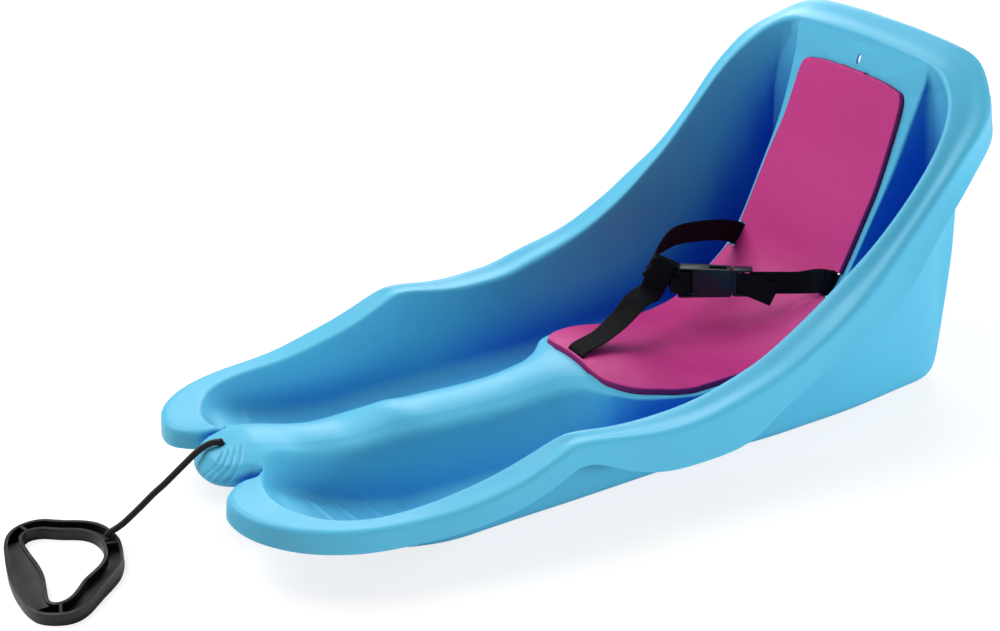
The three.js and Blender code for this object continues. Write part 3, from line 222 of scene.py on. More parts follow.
RIM_SHARES = [
    [0, 0.22, 0.85, 0.12, 0], [1, 0.22, 0.85, 0.13, 0], [2, 0.2, 0.8, 0.16, 0],
    [3, 0.14, 0.65, 0.22, 0], [4, 0.12, 0.35, 0.28, 0], [5, 0.2, 0.05, 0.34, 0],
    [6, 0.72, -0.24, 0.4, 0.06], [7, 0.98, -0.38, 0.44, 0.08], [8, 0.9, -0.32, 0.45, 0.06],
    [9, 0.75, -0.22, 0.47, 0.06], [10, 0.62, -0.15, 0.47, 0.06], [11, 0.57, -0.12, 0.47, 0.06],
    [12, 0.57, -0.1, 0.47, 0.06], [13, 0.66, -0.05, 0.47, 0.06], [14, 0.74, 0, 0.48, 0.06],
    [15, 0.8, 0, 0.5, 0.06], [16, 0.82, 0, 0.52, 0.06], [17, 0.77, 0, 0.48, 0.06],
    [18, 0.7, 0, 0.48, 0.06], [19, 0.66, 0, 0.48, 0.06], [20, 0.66, 0, 0.5, 0.06],
    [21, 0.72, 0, 0.65, 0.06], [22, 0.84, 0, 0.8, 0.06], [23, 0.95, 0, 0.89, 0.06],
    [24, 0.99, 0, 0.92, 0.06], [25, 1, 0, 0.98, 0.06], [26, 0.99, 0, 1, 0.06],
    [27, 0.98, 0.08, 0.85, 0.06], [28, 0.95, 0.22, 0.7, 0.06], [30, 0.94, 0.48, 0.62, 0.06],
    [31, 0.92, 0.64, 0.66, 0.06], [32, 0.87, 0.78, 0.8, 0.06], [33, 0.76, 0.86, 0.84, 0.08],
    [34, 0.66, 0.88, 0.76, 0.1], [35, 0.63, 0.84, 0.65, 0.12], [36, 0.65, 0.72, 0.61, 0.13],
    [37, 0.73, 0.48, 0.63, 0.12], [38, 0.86, 0.15, 0.78, 0.1], [39, 1.05, -0.15, 0.94, 0.12],
    [40, 1.06, -0.38, 1, 0.3], [41, 1.07, -0.7, 1, 0.5], [42, 1.08, -0.95, 0.98, 0.58],
    [43, 0.96, -1.15, 0.94, 0.6], [45, 0.78, -1.25, 0.91, 0.6],
]
ROUNDNESS_SHARES = [
    [5, 0.7], [7, 1], [22, 1], [23, 0.6], [24, 0.18], [42, 0.18],
]
EDGE_ROUNDNESS_SHARES = [
    [0, 4], [3, 4], [5, 2], [7, 1],
]
PAD_MARGIN_SHARES = [
    [23.72, 5.3], [23.86, 3.1], [24, 2.42], [24.4, 1.8], [25, 1.45], [26, 1.24], [27, 1], [30, 1],
    [38.6, 1.4], [40.2, 2.15], [41, 2.5], [41.6, 2.95], [41.85, 3.5], [42.05, 4.6], [42.2, 6.2],
    [42.35, 8.6], [42.45, 11.2], [42.5, 13],
]
LEFT_STRAP_SHARES = [
    [-0.36, 0.292, 0.35, 0.1, 0.3, 1], [-0.34, 0.25, 0.372, 0.1, 0.15, 1],
    [-0.306, 0.2, 0.387, 0.15, 0, 1],
]
CROTCH_STRAP_SHARES = [
    [-0.05, 0.045, 0.214, 1, 0.1, 0], [-0.1, 0.082, 0.234, 0.95, 0.35, -0.1],
    [-0.145, 0.115, 0.264, 0.75, 0.6, -0.3],
]
LOOP_PLACE_SHARES = [-0.163, 0.154, 0.328]
LOOP_WAY_SHARES = [0.55, 0.74, -0.38]
STRAP_IN_LOOP_SHARES = [
    [-0.36, 0.5, -0.9], [-0.68, 0.24, -0.36], [-0.74, 0.08, -0.14], [-0.54, 0, 0], [0, 0, 0],
    [0.5, -0.02, 0],
]
BUCKLE_END_SHARES = [-0.102, 0.171, 0.305]
HANDLE_OUTLINE_SHARES = [
    [-0.49, -0.93], [-0.65, -0.9], [-0.82, -0.845], [-0.93, -0.77], [-0.985, -0.67],
    [-0.99, -0.58], [-0.955, -0.49], [-0.88, -0.41], [-0.8, -0.33], [-0.7, -0.21], [-0.61, -0.13],
    [-0.5, -0.068], [-0.34, -0.025], [-0.12, 0], [0.06, -0.015], [0.22, -0.045], [0.36, -0.09],
    [0.49, -0.15], [0.61, -0.24], [0.72, -0.34], [0.84, -0.44], [0.94, -0.53], [0.995, -0.62],
    [1, -0.7], [0.965, -0.78], [0.9, -0.86], [0.8, -0.93], [0.63, -0.975], [0.29, -1],
    [-0.09, -0.985],
]
HANDLE_HOLE_SHARES = [
    [-0.6, -0.74], [-0.73, -0.72], [-0.79, -0.665], [-0.79, -0.6], [-0.755, -0.535],
    [-0.69, -0.47], [-0.62, -0.4], [-0.56, -0.325], [-0.49, -0.255], [-0.4, -0.2], [-0.3, -0.17],
    [-0.19, -0.155], [-0.06, -0.16], [0.08, -0.18], [0.19, -0.215], [0.29, -0.275], [0.39, -0.37],
    [0.48, -0.46], [0.6, -0.54], [0.7, -0.62], [0.74, -0.7], [0.725, -0.755], [0.68, -0.785],
    [0.6, -0.785], [0.46, -0.765], [0.17, -0.725], [-0.07, -0.72], [-0.34, -0.735],
]
CROSS_RIB_SHARES = [
    [-0.863, -0.672, 0.33], [-0.063, -0.08, 1.25], [0.833, -0.735, -0.3],
]
ROPE_POINTS = [
    [0, -381.3, 87.2], [-1.7, -386.2, 86.6], [-3.2, -391.6, 84.4], [-4.8, -399.5, 79.5],
    [-6.6, -409.7, 70.9], [-8.5, -419.6, 62.2], [-10.5, -429.5, 53.4], [-12.4, -439.3, 45.7],
    [-14.3, -449.1, 36.9], [-16.3, -459.1, 28.2], [-18, -468, 21], [-19.2, -474.6, 17.1],
    [-20, -479, 15.1], [-20.4, -481.8, 13.3], [-20.5, -483, 11.3],
]
RIGHT_STRAP_SHARES = [0.66, 0.33, 0]
TAIL_SHARES = [0, 0.35, 0.7, 1]
HANDLE_MOUTH_SHARES = [-0.213, -0.084]


# Curves and places on the skin
def follow(rows, column, at):
    """Piecewise cubic that keeps each rise and fall of a table's column."""
    rows = np.asarray(rows, float)
    x, y = rows[:, 0], rows[:, column]
    slope = np.diff(y) / np.diff(x)
    before, after = slope[:-1], slope[1:]
    total = np.where(before + after == 0, 1, before + after)
    middle = np.where(before * after <= 0, 0, 2 * before * after / total)
    bend = np.concatenate(([slope[0]], middle, [slope[-1]]))
    at = np.clip(np.asarray(at, float), x[0], x[-1])
    k = np.clip(np.searchsorted(x, at, side="right") - 1, 0, len(x) - 2)
    span = x[k + 1] - x[k]
    t = (at - x[k]) / span
    rest = 1 - t
    return (
        y[k] * (1 + 2 * t) * rest**2
        + bend[k] * span * t * rest**2
        + y[k + 1] * t * t * (3 - 2 * t)
        - bend[k + 1] * span * t * t * rest
    )


SIZE = np.array([SLED_HALF_WIDTH, SLED_LENGTH, SLED_HEIGHT], float)
LAST_RIB = len(RIB_SHARES) - 1


def beyond(rib, end, near):
    """A row past an end of the ribs: the rim mirrored over the middle plane, the spine carried on."""
    return [rib, -near[0], *near[1:3], *(2 * e - n for e, n in zip(end[3:], near[3:]))]


RIB_ROWS = [
    beyond(-1, RIB_SHARES[0], RIB_SHARES[1]),
    *([k, *row] for k, row in enumerate(RIB_SHARES)),
    beyond(LAST_RIB + 1, RIB_SHARES[-1], RIB_SHARES[-2]),
]


def unit(v):
    return v / np.maximum(np.linalg.norm(v, axis=-1, keepdims=True), 1e-9)


def smooth(low, high, value):
    t = np.clip((value - low) / (high - low), 0, 1)
    return t * t * (3 - 2 * t)


def run_along(points, axis=0):
    """Length from the first point on, along an axis of an array of points."""
    steps = np.linalg.norm(np.diff(points, axis=axis), axis=-1)
    return np.concatenate((0 * np.take(steps, [0], axis), np.cumsum(steps, axis)), axis)


def guide(rows, rib):
    return np.stack([follow(rows, k, rib) for k in (1, 2, 3)], -1) * SIZE


def on_floor(rows, rib):
    point = guide(rows, rib)
    point[..., 2] = np.maximum(point[..., 2], SKIN_WALL)
    return point


def rim_point(rib):
    return guide(RIB_ROWS, rib)


def spine_point(rib):
    y, z = follow(RIB_ROWS, 4, rib), follow(RIB_ROWS, 5, rib)
    return np.stack([np.zeros_like(y), y, z], -1) * SIZE


def spine_ways(rib):
    along = unit(spine_point(rib + TANGENT_REACH) - spine_point(rib - TANGENT_REACH))
    out = np.stack([np.zeros_like(along[..., 0]), -along[..., 2], along[..., 1]], -1)
    return along, out


def crown_point(spine, shoulder, run):
    run = np.asarray(run, float)[..., None]
    point = spine + (shoulder - spine) * run
    point[..., 2] = spine[..., 2] + (shoulder[..., 2] - spine[..., 2]) * run[..., 0] ** 2
    return point


def corner_point(rib, column, rows):
    """A corner between spine and rim: guided by its rows, or on the shelf of the nose and of the top."""
    guided = np.minimum(
        smooth(LAST_NOSE_RIB, LAST_NOSE_RIB + 1, rib), 1 - smooth(FIRST_TOP_RIB - 1, FIRST_TOP_RIB, rib)
    )[..., None]
    shelf = crown_point(spine_point(rib), rim_point(rib), follow(SHELF_SHARES, column, rib))
    return shelf + (on_floor(rows, rib) - shelf) * guided


def seat_point(rib, x, lift=0.0):
    rib, x = np.broadcast_arrays(np.asarray(rib, float), np.asarray(x, float))
    shoulder = corner_point(rib, 1, SHOULDER_SHARES)
    point = crown_point(spine_point(rib), shoulder, np.abs(x) / shoulder[..., 0])
    point[..., 0] = x
    return point + spine_ways(rib)[1] * np.asarray(lift, float)[..., None]


SPINE_TABLE = np.linspace(0, LAST_RIB, 1801)
SPINE_RUN = run_along(spine_point(SPINE_TABLE))


def spine_run(rib):
    """Millimetres along the spine up to a rib."""
    return np.interp(rib, SPINE_TABLE, SPINE_RUN)


def pad_half(rib):
    rib = np.clip(rib, PAD_FRONT_RIB, PAD_TOP_RIB)
    edge = corner_point(rib, 1, SHOULDER_SHARES)[..., 0]
    return edge - PAD_MARGIN * follow(PAD_MARGIN_SHARES, 1, rib)


PAD_RISE = PAD_THICKNESS + PAD_GAP - RECESS_DEPTH
WAIST_SLOT_OFFSET = float(pad_half(WAIST_SLOT_RIB)) - WAIST_SLOT_INSET


# The moulded skin
def bezier(start, corner, end, t):
    return start * (1 - t) ** 2 + corner * 2 * t * (1 - t) + end * t * t


def round_corner(before, corner, after, radius, count):
    back, ahead = before - corner, after - corner
    back_length = np.linalg.norm(back, axis=-1)
    ahead_length = np.linalg.norm(ahead, axis=-1)
    shorter = np.minimum(back_length, ahead_length)
    cosine = (back * ahead).sum(-1) / np.maximum(back_length * ahead_length, 1e-9)
    turn = math.pi - np.arccos(np.clip(cosine, -1, 1))
    reach = np.clip(
        radius * np.tan(turn / 2), FILLET_LEAST_SHARE * shorter, FILLET_MOST_SHARE * shorter
    )[..., None]
    start, end = corner + unit(back) * reach, corner + unit(ahead) * reach
    return [bezier(start, corner, end, t) for t in np.linspace(0, 1, count)]


def between(start, end, count):
    """count columns strictly between two columns."""
    return [start + (end - start) * (k / (count + 1)) for k in range(1, count + 1)]


# Depths of the shallow valleys along the rim's top and along its skirt
BAND_VALLEY = 1.5
SKIRT_VALLEY = 0.8


def valley_shares(count, depth):
    return [depth * math.sin(math.pi * (k + 1) / (count + 1)) ** 2 for k in range(count)]


# Ribs before and behind the pad over which a column comes to follow its edge. Elsewhere that column lies at
# a plain share of the panel. The recess's slope is never narrower than on a panel of the least half width
PAD_BLEND = (1.2, 0.5)
PLAIN_EDGE = 0.5
LEAST_PANEL = 20
# Columns up to the pad's edge, the parts of the recess's slope that have one, and columns down the skirt
PANEL_COLUMNS = 8
SLOPE_PARTS = (0.2, 0.5, 0.8, 1.0)
SKIRT_COLUMNS = 8
# For each bend across a rib: the columns before it and in it, what part of these lies on the floor of a
# well, and how deep the valley before the bend is
BENDS = [
    (4, 9, 0.0, 0.0, 0.0), (8, 7, 0.0, 0.5, 0.0), (9, 9, 1.0, 0.7, 0.0), (10, 7, 0.0, 0.0, 0.0),
    (9, 7, 0.0, 0.0, BAND_VALLEY),
]


def skin_columns(ribs):
    """Columns of the upper face from the spine to the foot, with what part of each is sunk for the pad,
    what part lies on the floor of a well and how deep it lies in a valley of the rim."""
    spine, rim = spine_point(ribs), rim_point(ribs)
    shoulder = corner_point(ribs, 1, SHOULDER_SHARES)
    inner = corner_point(ribs, 2, WELL_INNER_SHARES)
    outer = corner_point(ribs, 3, WELL_OUTER_SHARES)

    way = unit(rim_point(ribs + TANGENT_REACH) - rim_point(ribs - TANGENT_REACH))
    outward = unit(np.stack([way[:, 1], -way[:, 0], 0 * way[:, 0]], -1))
    down = way * way[:, 2:]
    down[:, 2] -= 1
    down = unit(down)
    crease = rim + outward * (RIM_BAND * follow(RIM_SHARES, 1, ribs))[:, None]
    crease += down * (RIM_DROP * follow(RIM_SHARES, 2, ribs))[:, None]
    lean = unit(down + outward * follow(RIM_SHARES, 4, ribs)[:, None])
    foot = crease + lean * (SKIRT_DEPTH * follow(RIM_SHARES, 3, ribs))[:, None]

    near_pad = np.minimum(
        smooth(PAD_FRONT_RIB - PAD_BLEND[0], PAD_FRONT_RIB, ribs),
        1 - smooth(PAD_TOP_RIB, PAD_TOP_RIB + PAD_BLEND[1], ribs),
    )
    reach = np.maximum(shoulder[:, 0], 1e-3)
    low = PLAIN_EDGE + ((pad_half(ribs) + RECESS_CLEARANCE) / reach - PLAIN_EDGE) * near_pad
    step = RECESS_SLOPE / np.maximum(reach, LEAST_PANEL)
    runs = [(low - step) * k / PANEL_COLUMNS for k in range(PANEL_COLUMNS)] + [low - step, low]
    runs += [low + step * part for part in SLOPE_PARTS] + [low + 2 * step]
    sunk = [1.0] * (PANEL_COLUMNS + 2) + [1 - smooth(0, 1, part) for part in SLOPE_PARTS]
    columns = [crown_point(spine, shoulder, run) for run in runs]
    floor, valley = [0.0] * len(columns), [0.0] * len(columns)

    edge = follow(EDGE_ROUNDNESS_SHARES, 1, ribs)
    radii = [
        SHOULDER_FILLET * follow(ROUNDNESS_SHARES, 1, ribs), WELL_FILLET, RUNNER_FILLET,
        RIM_FILLET * edge, SKIRT_FILLET * edge,
    ]
    corners = [columns[-1], shoulder, inner, outer, rim, crease, foot]
    for k, (fill, count, floor_before, floor_in, depth) in enumerate(BENDS):
        bend = round_corner(*corners[k:k + 3], radii[k], count)
        columns += between(columns[-1], bend[0], fill) + bend
        floor += [floor_before] * fill + [floor_in] * count
        valley += valley_shares(fill, depth) + [0.0] * count
    columns += between(columns[-1], foot, SKIRT_COLUMNS) + [foot]
    floor += [0.0] * (SKIRT_COLUMNS + 1)
    valley += valley_shares(SKIRT_COLUMNS, SKIRT_VALLEY) + [0.0]
    sunk += [0.0] * (len(columns) - len(sunk))
    return np.stack(columns, 1), np.array(sunk), np.array(floor), np.array(valley)


# Where ribs start and end, and the step between them; of two that are closer than the least one goes
RIB_STEPS = [
    (0, LAST_RIB + 1e-6, 0.25), (0, 4.5, 0.1), (4.5, 12.8, 0.125), (12.8, 18.2, 0.08),
    (23.4, 24.7, 0.05), (41.3, 43, 0.04),
]
LEAST_STEP = 0.03


def skin_ribs():
    """The ribs of the fine skin, with five down each end of the pad's recess."""
    ribs = np.unique(np.round(np.concatenate([np.arange(*row) for row in RIB_STEPS]), 3))
    ribs = ribs[np.concatenate(([True], np.diff(ribs) > LEAST_STEP))]
    ends = []
    for rib, side in ((PAD_FRONT_RIB, -1), (PAD_TOP_RIB, 1)):
        step = RECESS_SLOPE / (spine_run(rib + 0.5) - spine_run(rib - 0.5))
        ribs = ribs[np.abs(ribs - rib - side * step / 2) > step]
        ends += [rib + side * step * k / 4 for k in range(5)]
    return np.sort(np.concatenate((ribs, ends)))


def end_sunk(ribs):
    """How far a rib lies inside the pad's recess, from 0 to 1."""
    front = spine_run(ribs) - spine_run(PAD_FRONT_RIB)
    back = spine_run(PAD_TOP_RIB) - spine_run(ribs)
    return smooth(-RECESS_SLOPE, 0, front) * smooth(-RECESS_SLOPE, 0, back)


def grid_normals(points):
    """Unit normals of a grid whose first and last rows are folded on the middle plane."""
    ahead = points[1:, 1:] - points[:-1, :-1]
    across = points[1:, :-1] - points[:-1, 1:]
    face = unit(np.cross(across, ahead))
    normal = np.zeros_like(points)
    normal[:-1, :-1] += face
    normal[1:, :-1] += face
    normal[:-1, 1:] += face
    normal[1:, 1:] += face
    for row in (0, -1):
        mirrored = normal[row, ::-1].copy()
        mirrored[:, 0] *= -1
        normal[row] = normal[row] + mirrored
    return unit(normal)


def ridge(distance, width):
    return np.exp(-0.5 * (distance / width) ** 2)


# Ribs on the floor of each well: where along the sled each starts beside the tunnel and ends under the side
# wall, and how far from the middle that is
WELL_RIBS = [(-320, -305), (-294, -276), (-266, -247), (-242, -222)]
WELL_RIB_SPAN = (50, 125)
WELL_RIB_HEIGHT, WELL_RIB_WIDTH = 1.7, 1.15
# Shares of the way across over which a rib rises and fades
WELL_RIB_RISE, WELL_RIB_END = (-0.1, 0.04), (0.98, 1.12)


def well_relief(points, floor):
    side = np.abs(points[..., 0])
    share = (side - WELL_RIB_SPAN[0]) / (WELL_RIB_SPAN[1] - WELL_RIB_SPAN[0])
    lift = np.zeros(side.shape)
    for start, end in WELL_RIBS:
        distance = points[..., 1] - (start + (end - start) * share)
        lift = np.maximum(lift, WELL_RIB_HEIGHT * ridge(distance, WELL_RIB_WIDTH))
    inside = smooth(*WELL_RIB_RISE, share) * (1 - smooth(*WELL_RIB_END, share))
    return lift * inside * floor


# Steps from a rib and their weights, which together even out kinks but keep the bends, and a step in ribs
EVEN_WEIGHTS = [(-3, -2), (-2, 3), (-1, 6), (0, 7), (1, 6), (2, 3), (3, -2)]
EVEN_STEP = 0.4
# They work from a column on, which moves outward over some ribs of the backrest, and behind the nose's ribs
EVEN_START, EVEN_FADE = 43, 10
EVEN_SHIFT, EVEN_SHIFT_RIBS = 28, (37.5, 40)
EVEN_RIBS = (5, 7)


def evened(half, ribs):
    """The outer wall, the rim and the skirt without the kinks between the ribs, behind the nose."""
    step = np.minimum(EVEN_STEP, (LAST_RIB + 1 - ribs) / 3)
    even = sum(weight * skin_columns(ribs + k * step)[0] for k, weight in EVEN_WEIGHTS)
    even /= sum(weight for _, weight in EVEN_WEIGHTS)
    start = EVEN_START + EVEN_SHIFT * smooth(*EVEN_SHIFT_RIBS, ribs)[:, None]
    share = smooth(start, start + EVEN_FADE, np.arange(half.shape[1])[None, :])
    half = half + (even - half) * (share * smooth(*EVEN_RIBS, ribs)[:, None])[..., None]
    half[-1, :, 0] = 0
    return half


# Rounds that smooth the nose, and the ribs over which they fade
NOSE_ROUNDS, NOSE_FADE = 16, (4.3, 6.5)


def smoothed_nose(base, ribs):
    """The folds between the ribs of the nose evened out, less and less up to the lobes."""
    weight = 0.5 * (1 - smooth(*NOSE_FADE, ribs))[:, None, None]
    for _ in range(NOSE_ROUNDS):
        along = np.concatenate((base[1:2, ::-1], base[:-1])) + np.concatenate((base[1:], base[-1:]))
        wide = np.pad(base, ((0, 0), (1, 1), (0, 0)), mode="edge")
        even = (along + (wide[:, :-2] + wide[:, 2:])) / 4
        even[:, [0, -1]] = along[:, [0, -1]] / 2
        base = base + (even - base) * weight
        base[0, :, 0] = 0
    return base


# Grooves of the nose: the rib that each starts at beside the hole, and ends at on the foot
NOSE_GROOVES = [(3.0, 1.55), (2.5, 1.15), (2.0, 0.8), (1.5, 0.45)]
NOSE_GROOVE_DEPTH, NOSE_GROOVE_WIDTH = 1.2, 0.85
# Shares of the way from the spine to the foot where the grooves run, deepen and fade, the ribs over which
# they end, and one past the nose
NOSE_GROOVE_SPAN, NOSE_GROOVE_RISE, NOSE_GROOVE_END = (0.2, 0.95), (0.16, 0.3), (0.9, 1.0)
NOSE_GROOVE_RIBS = (4.0, 4.6)
NOSE_END = 7


def both_sides(half):
    """The columns of one side with their mirror images before them."""
    return np.concatenate((half[..., :0:-1], half), -1)


def nose_relief(base, ribs):
    """Shallow grooves that fan out from the rope hole, down and forward."""
    half = base[:, base.shape[1] // 2:]
    part = run_along(half, 1)
    part = part / part[:, -1:]
    low, high = NOSE_GROOVE_SPAN
    share = np.clip((part - low) / (high - low), 0, 1)
    near = ribs < NOSE_END
    along = run_along(half)
    lift = np.zeros(part.shape)
    for column in range(part.shape[1]):
        for start, end in NOSE_GROOVES:
            centre = start + (end - start) * share[:, column]
            here = np.interp(centre, ribs[near], along[near, column])
            lift[:, column] -= NOSE_GROOVE_DEPTH * ridge(along[:, column] - here, NOSE_GROOVE_WIDTH)
    lift *= smooth(*NOSE_GROOVE_RISE, part) * (1 - smooth(*NOSE_GROOVE_END, part))
    return both_sides(lift * (1 - smooth(*NOSE_GROOVE_RIBS, ribs))[:, None])


# Ribs over which the valleys along the rim and the skirt deepen
VALLEY_RIBS = (13, 19)


def skin_mesh():
    """The points of the skin's upper and lower faces."""
    ribs = skin_ribs()
    half, sunk, floor, valley = skin_columns(ribs)
    half = evened(half, ribs)
    mirrored = half[:, :0:-1] * np.array([-1, 1, 1])
    base = smoothed_nose(np.concatenate((mirrored, half), 1), ribs)
    normal = grid_normals(base)
    if normal[len(ribs) // 2, base.shape[1] // 2, 2] < 0:
        normal = -normal
    relief = well_relief(base, both_sides(floor)) + nose_relief(base, ribs)
    relief -= both_sides(valley) * smooth(*VALLEY_RIBS, ribs)[:, None]
    depth = RECESS_DEPTH * both_sides(sunk) * end_sunk(ribs)[:, None]
    base = base - spine_ways(ribs)[1][:, None, :] * depth[..., None]
    return base + normal * relief[..., None], base - normal * SKIN_WALL


def grid_faces(rows, columns, offset=0, flip=False):
    i, j = np.meshgrid(np.arange(rows - 1), np.arange(columns - 1), indexing="ij")
    a = offset + i * columns + j
    quads = np.stack([a, a + 1, a + columns + 1, a + columns], -1).reshape(-1, 4)
    return quads[:, ::-1] if flip else quads


def slab_faces(rows, columns, ends):
    """Faces of a grid and of one under it, with walls down their sides and, where asked, their ends."""
    count = rows * columns
    index = np.arange(count).reshape(rows, columns)
    lines = [index[:, 0], index[::-1, -1]] + ([index[0, ::-1], index[-1]] if ends else [])
    walls = [np.stack([a[:-1], a[1:], a[1:] + count, a[:-1] + count], -1) for a in lines]
    return np.concatenate([grid_faces(rows, columns), grid_faces(rows, columns, count, True), *walls])


def new_mesh(name, points, faces, uv=None, merge=None):
    """A mesh in metres from points in millimetres in the source's frame. Where merge is given, points
    that are closer than that are joined and the faces turned outward."""
    points = np.asarray(points, float).reshape(-1, 3) + SHIFT
    mesh = bpy.data.meshes.new(name)
    mesh.from_pydata((points * MM).tolist(), [], [list(map(int, face)) for face in faces])
    if uv is not None:
        layer = mesh.uv_layers.new(name="UVMap")
        index = np.zeros(len(mesh.loops), np.int32)
        mesh.loops.foreach_get("vertex_index", index)
        layer.data.foreach_set("uv", np.asarray(uv, np.float32)[index].ravel())
    if merge is not None:
        bm = bmesh.new()
        bm.from_mesh(mesh)
        bmesh.ops.remove_doubles(bm, verts=bm.verts, dist=merge)
        bmesh.ops.dissolve_degenerate(bm, edges=bm.edges, dist=merge)
        bmesh.ops.recalc_face_normals(bm, faces=bm.faces)
        bm.to_mesh(mesh)
        bm.free()
    mesh.validate()
    return mesh


def new_piece(node, suffix, mesh, slot, body, sharp=40):
    """The finer form of a node: a piece that is named after it and takes its place."""
    piece = linked(f"{node}_{suffix}", mesh)
    mesh.polygons.foreach_set("use_smooth", [True] * len(mesh.polygons))
    if sharp:
        mesh.set_sharp_from_angle(angle=math.radians(sharp))
    mesh.materials.clear()
    mesh.materials.append(MATERIALS[slot])
    if body:
        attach(piece, body)
    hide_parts(node)
    return piece


def applied(mesh, kind, **settings):
    """A new mesh with a modifier applied."""
    holder = linked("work", mesh)
    modifier = holder.modifiers.new(kind, kind)
    for key, value in settings.items():
        setattr(modifier, key, value)
    graph = bpy.context.evaluated_depsgraph_get()
    result = bpy.data.meshes.new_from_object(holder.evaluated_get(graph))
    bpy.data.objects.remove(holder)
    return result


def cut(mesh, *cutters):
    """The mesh with each cutter mesh taken from it."""
    for cutter in cutters:
        other = linked("cutter", cutter)
        mesh = applied(mesh, "BOOLEAN", object=other, operation="DIFFERENCE", solver="EXACT")
        bpy.data.objects.remove(other)
    return mesh


def bevelled(mesh, width, segments, angle):
    """The mesh with its edges rounded where they turn by more than an angle."""
    return applied(
        mesh, "BEVEL", width=width * MM, segments=segments, limit_method="ANGLE",
        angle_limit=math.radians(angle), use_clamp_overlap=True,
    )


def doubled_area(outline):
    """Twice an outline's area, below zero where it runs clockwise."""
    x, y = np.asarray(outline, float).T
    return (x * np.roll(y, -1) - np.roll(x, -1) * y).sum()


def prism_mesh(outline, low, high, place=None):
    """A closed prism over an outline in the x and y of a frame."""
    count = len(outline)
    points = [Vector((p[0], p[1], z)) for z in (low, high) for p in outline]
    if place is not None:
        points = [place @ p for p in points]
    faces = [list(range(count))[::-1], list(range(count, 2 * count))]
    for k in range(count):
        n = (k + 1) % count
        faces.append([k, n, n + count, k + count])
    if doubled_area(outline) < 0:
        faces = [face[::-1] for face in faces]
    return new_mesh("prism", [tuple(p) for p in points], faces)


def box_outline(width, height, radius=0.0, middle=(0, 0), segments=6):
    outline = []
    for turn, (sx, sy) in enumerate(((1, 1), (-1, 1), (-1, -1), (1, -1))):
        for k in range(segments + 1 if radius else 1):
            angle = math.pi / 2 * (turn + k / segments)
            outline.append((
                middle[0] + sx * (width / 2 - radius) + radius * math.cos(angle),
                middle[1] + sy * (height / 2 - radius) + radius * math.sin(angle),
            ))
    return outline


def oval_outline(width, height, count=40):
    turns = [2 * math.pi * k / count for k in range(count)]
    return [(width / 2 * math.cos(turn), height / 2 * math.sin(turn)) for turn in turns]


def seat_frame(rib, x):
    """The seat's frame at a rib: x across, y along the spine and z out."""
    along, out = spine_ways(np.array(float(rib)))
    return frame_at(seat_point(rib, x), (1, 0, 0), along, out)


# Materials
def linear(red, green, blue):
    """The linear colour of a screen colour with parts from 0 to 255."""

    def one(value):
        value /= 255
        return value / 12.92 if value <= 0.04045 else ((value + 0.055) / 1.055) ** 2.4

    return (one(red), one(green), one(blue), 1.0)


class Nodes:
    """A node tree with short calls for its nodes, which give a node's outputs or one of them."""

    def __init__(self, tree):
        self.tree = tree

    def put(self, socket, value):
        if isinstance(value, bpy.types.NodeSocket):
            self.tree.links.new(value, socket)
        else:
            socket.default_value = value

    def node(self, kind, inputs=None, **settings):
        node = self.tree.nodes.new("ShaderNode" + kind)
        for key, value in settings.items():
            setattr(node, key, value)
        for key, value in (inputs or {}).items():
            self.put(node.inputs[key], value)
        return node.outputs

    def math(self, operation, first, second=0.0):
        return self.node("Math", {0: first, 1: second}, operation=operation)[0]

    def times(self, first, second):
        return self.math("MULTIPLY", first, second)

    def plus(self, first, second):
        return self.math("ADD", first, second)

    def noise(self, vector, scale, detail=3.0):
        return self.node("TexNoise", {"Vector": vector, "Scale": scale, "Detail": detail})["Fac"]

    def ramp(self, value, low, high, new_low=0, new_high=1):
        return self.node("MapRange", {
            "Value": value, "From Min": low, "From Max": high, "To Min": new_low, "To Max": new_high,
        })["Result"]

    def mix(self, factor, first, second):
        return self.node("Mix", {0: factor, 6: first, 7: second}, data_type="RGBA")[2]


class Shader(Nodes):
    """The nodes of a new material."""

    def __init__(self, name, specular):
        self.material = bpy.data.materials.new(name)
        self.material.use_nodes = True
        super().__init__(self.material.node_tree)
        self.to("Specular IOR Level", specular)

    def to(self, key, value):
        self.put(self.tree.nodes["Principled BSDF"].inputs[key], value)

    def coordinates(self, kind="Object"):
        return self.node("TexCoord")[kind]

    def across_and_along(self):
        """The two parts of the surface's own coordinates, in millimetres where they run along."""
        return self.node("SeparateXYZ", {"Vector": self.coordinates("UV")})[:2]

    def rough(self, value, low, high):
        """Roughness between two values where a noise lies between its common ends."""
        self.to("Roughness", self.ramp(value, 0.3, 0.7, low, high))

    def bump(self, height, distance, strength, under=None):
        inputs = {"Height": height, "Distance": distance, "Strength": strength}
        if under is not None:
            inputs["Normal"] = under
        return self.node("Bump", inputs)["Normal"]


def shell_material():
    """Cyan plastic, with painted shade: a deeper blue where ambient occlusion finds it enclosed."""
    s = Shader("shell_plastic", 0.32)
    place = s.coordinates()
    painted_shade_ao = s.node("AmbientOcclusion", {"Distance": 0.1}, samples=8, only_local=True)["AO"]
    face = s.mix(s.noise(place, 7, 2), linear(88, 190, 226), linear(95, 196, 231))
    # Painted shade: the base colour turns deep blue where the surface is enclosed, from ambient occlusion
    s.to("Base Color", s.mix(s.ramp(painted_shade_ao, 0.36, 0.76), linear(20, 98, 212), face))
    s.rough(s.noise(place, 30, 4), 0.36, 0.46)
    swell = s.bump(s.noise(place, 18, 2), 0.0012, 0.35)
    s.to("Normal", s.bump(s.noise(place, 900, 2), 0.00012, 0.35, swell))
    return s.material


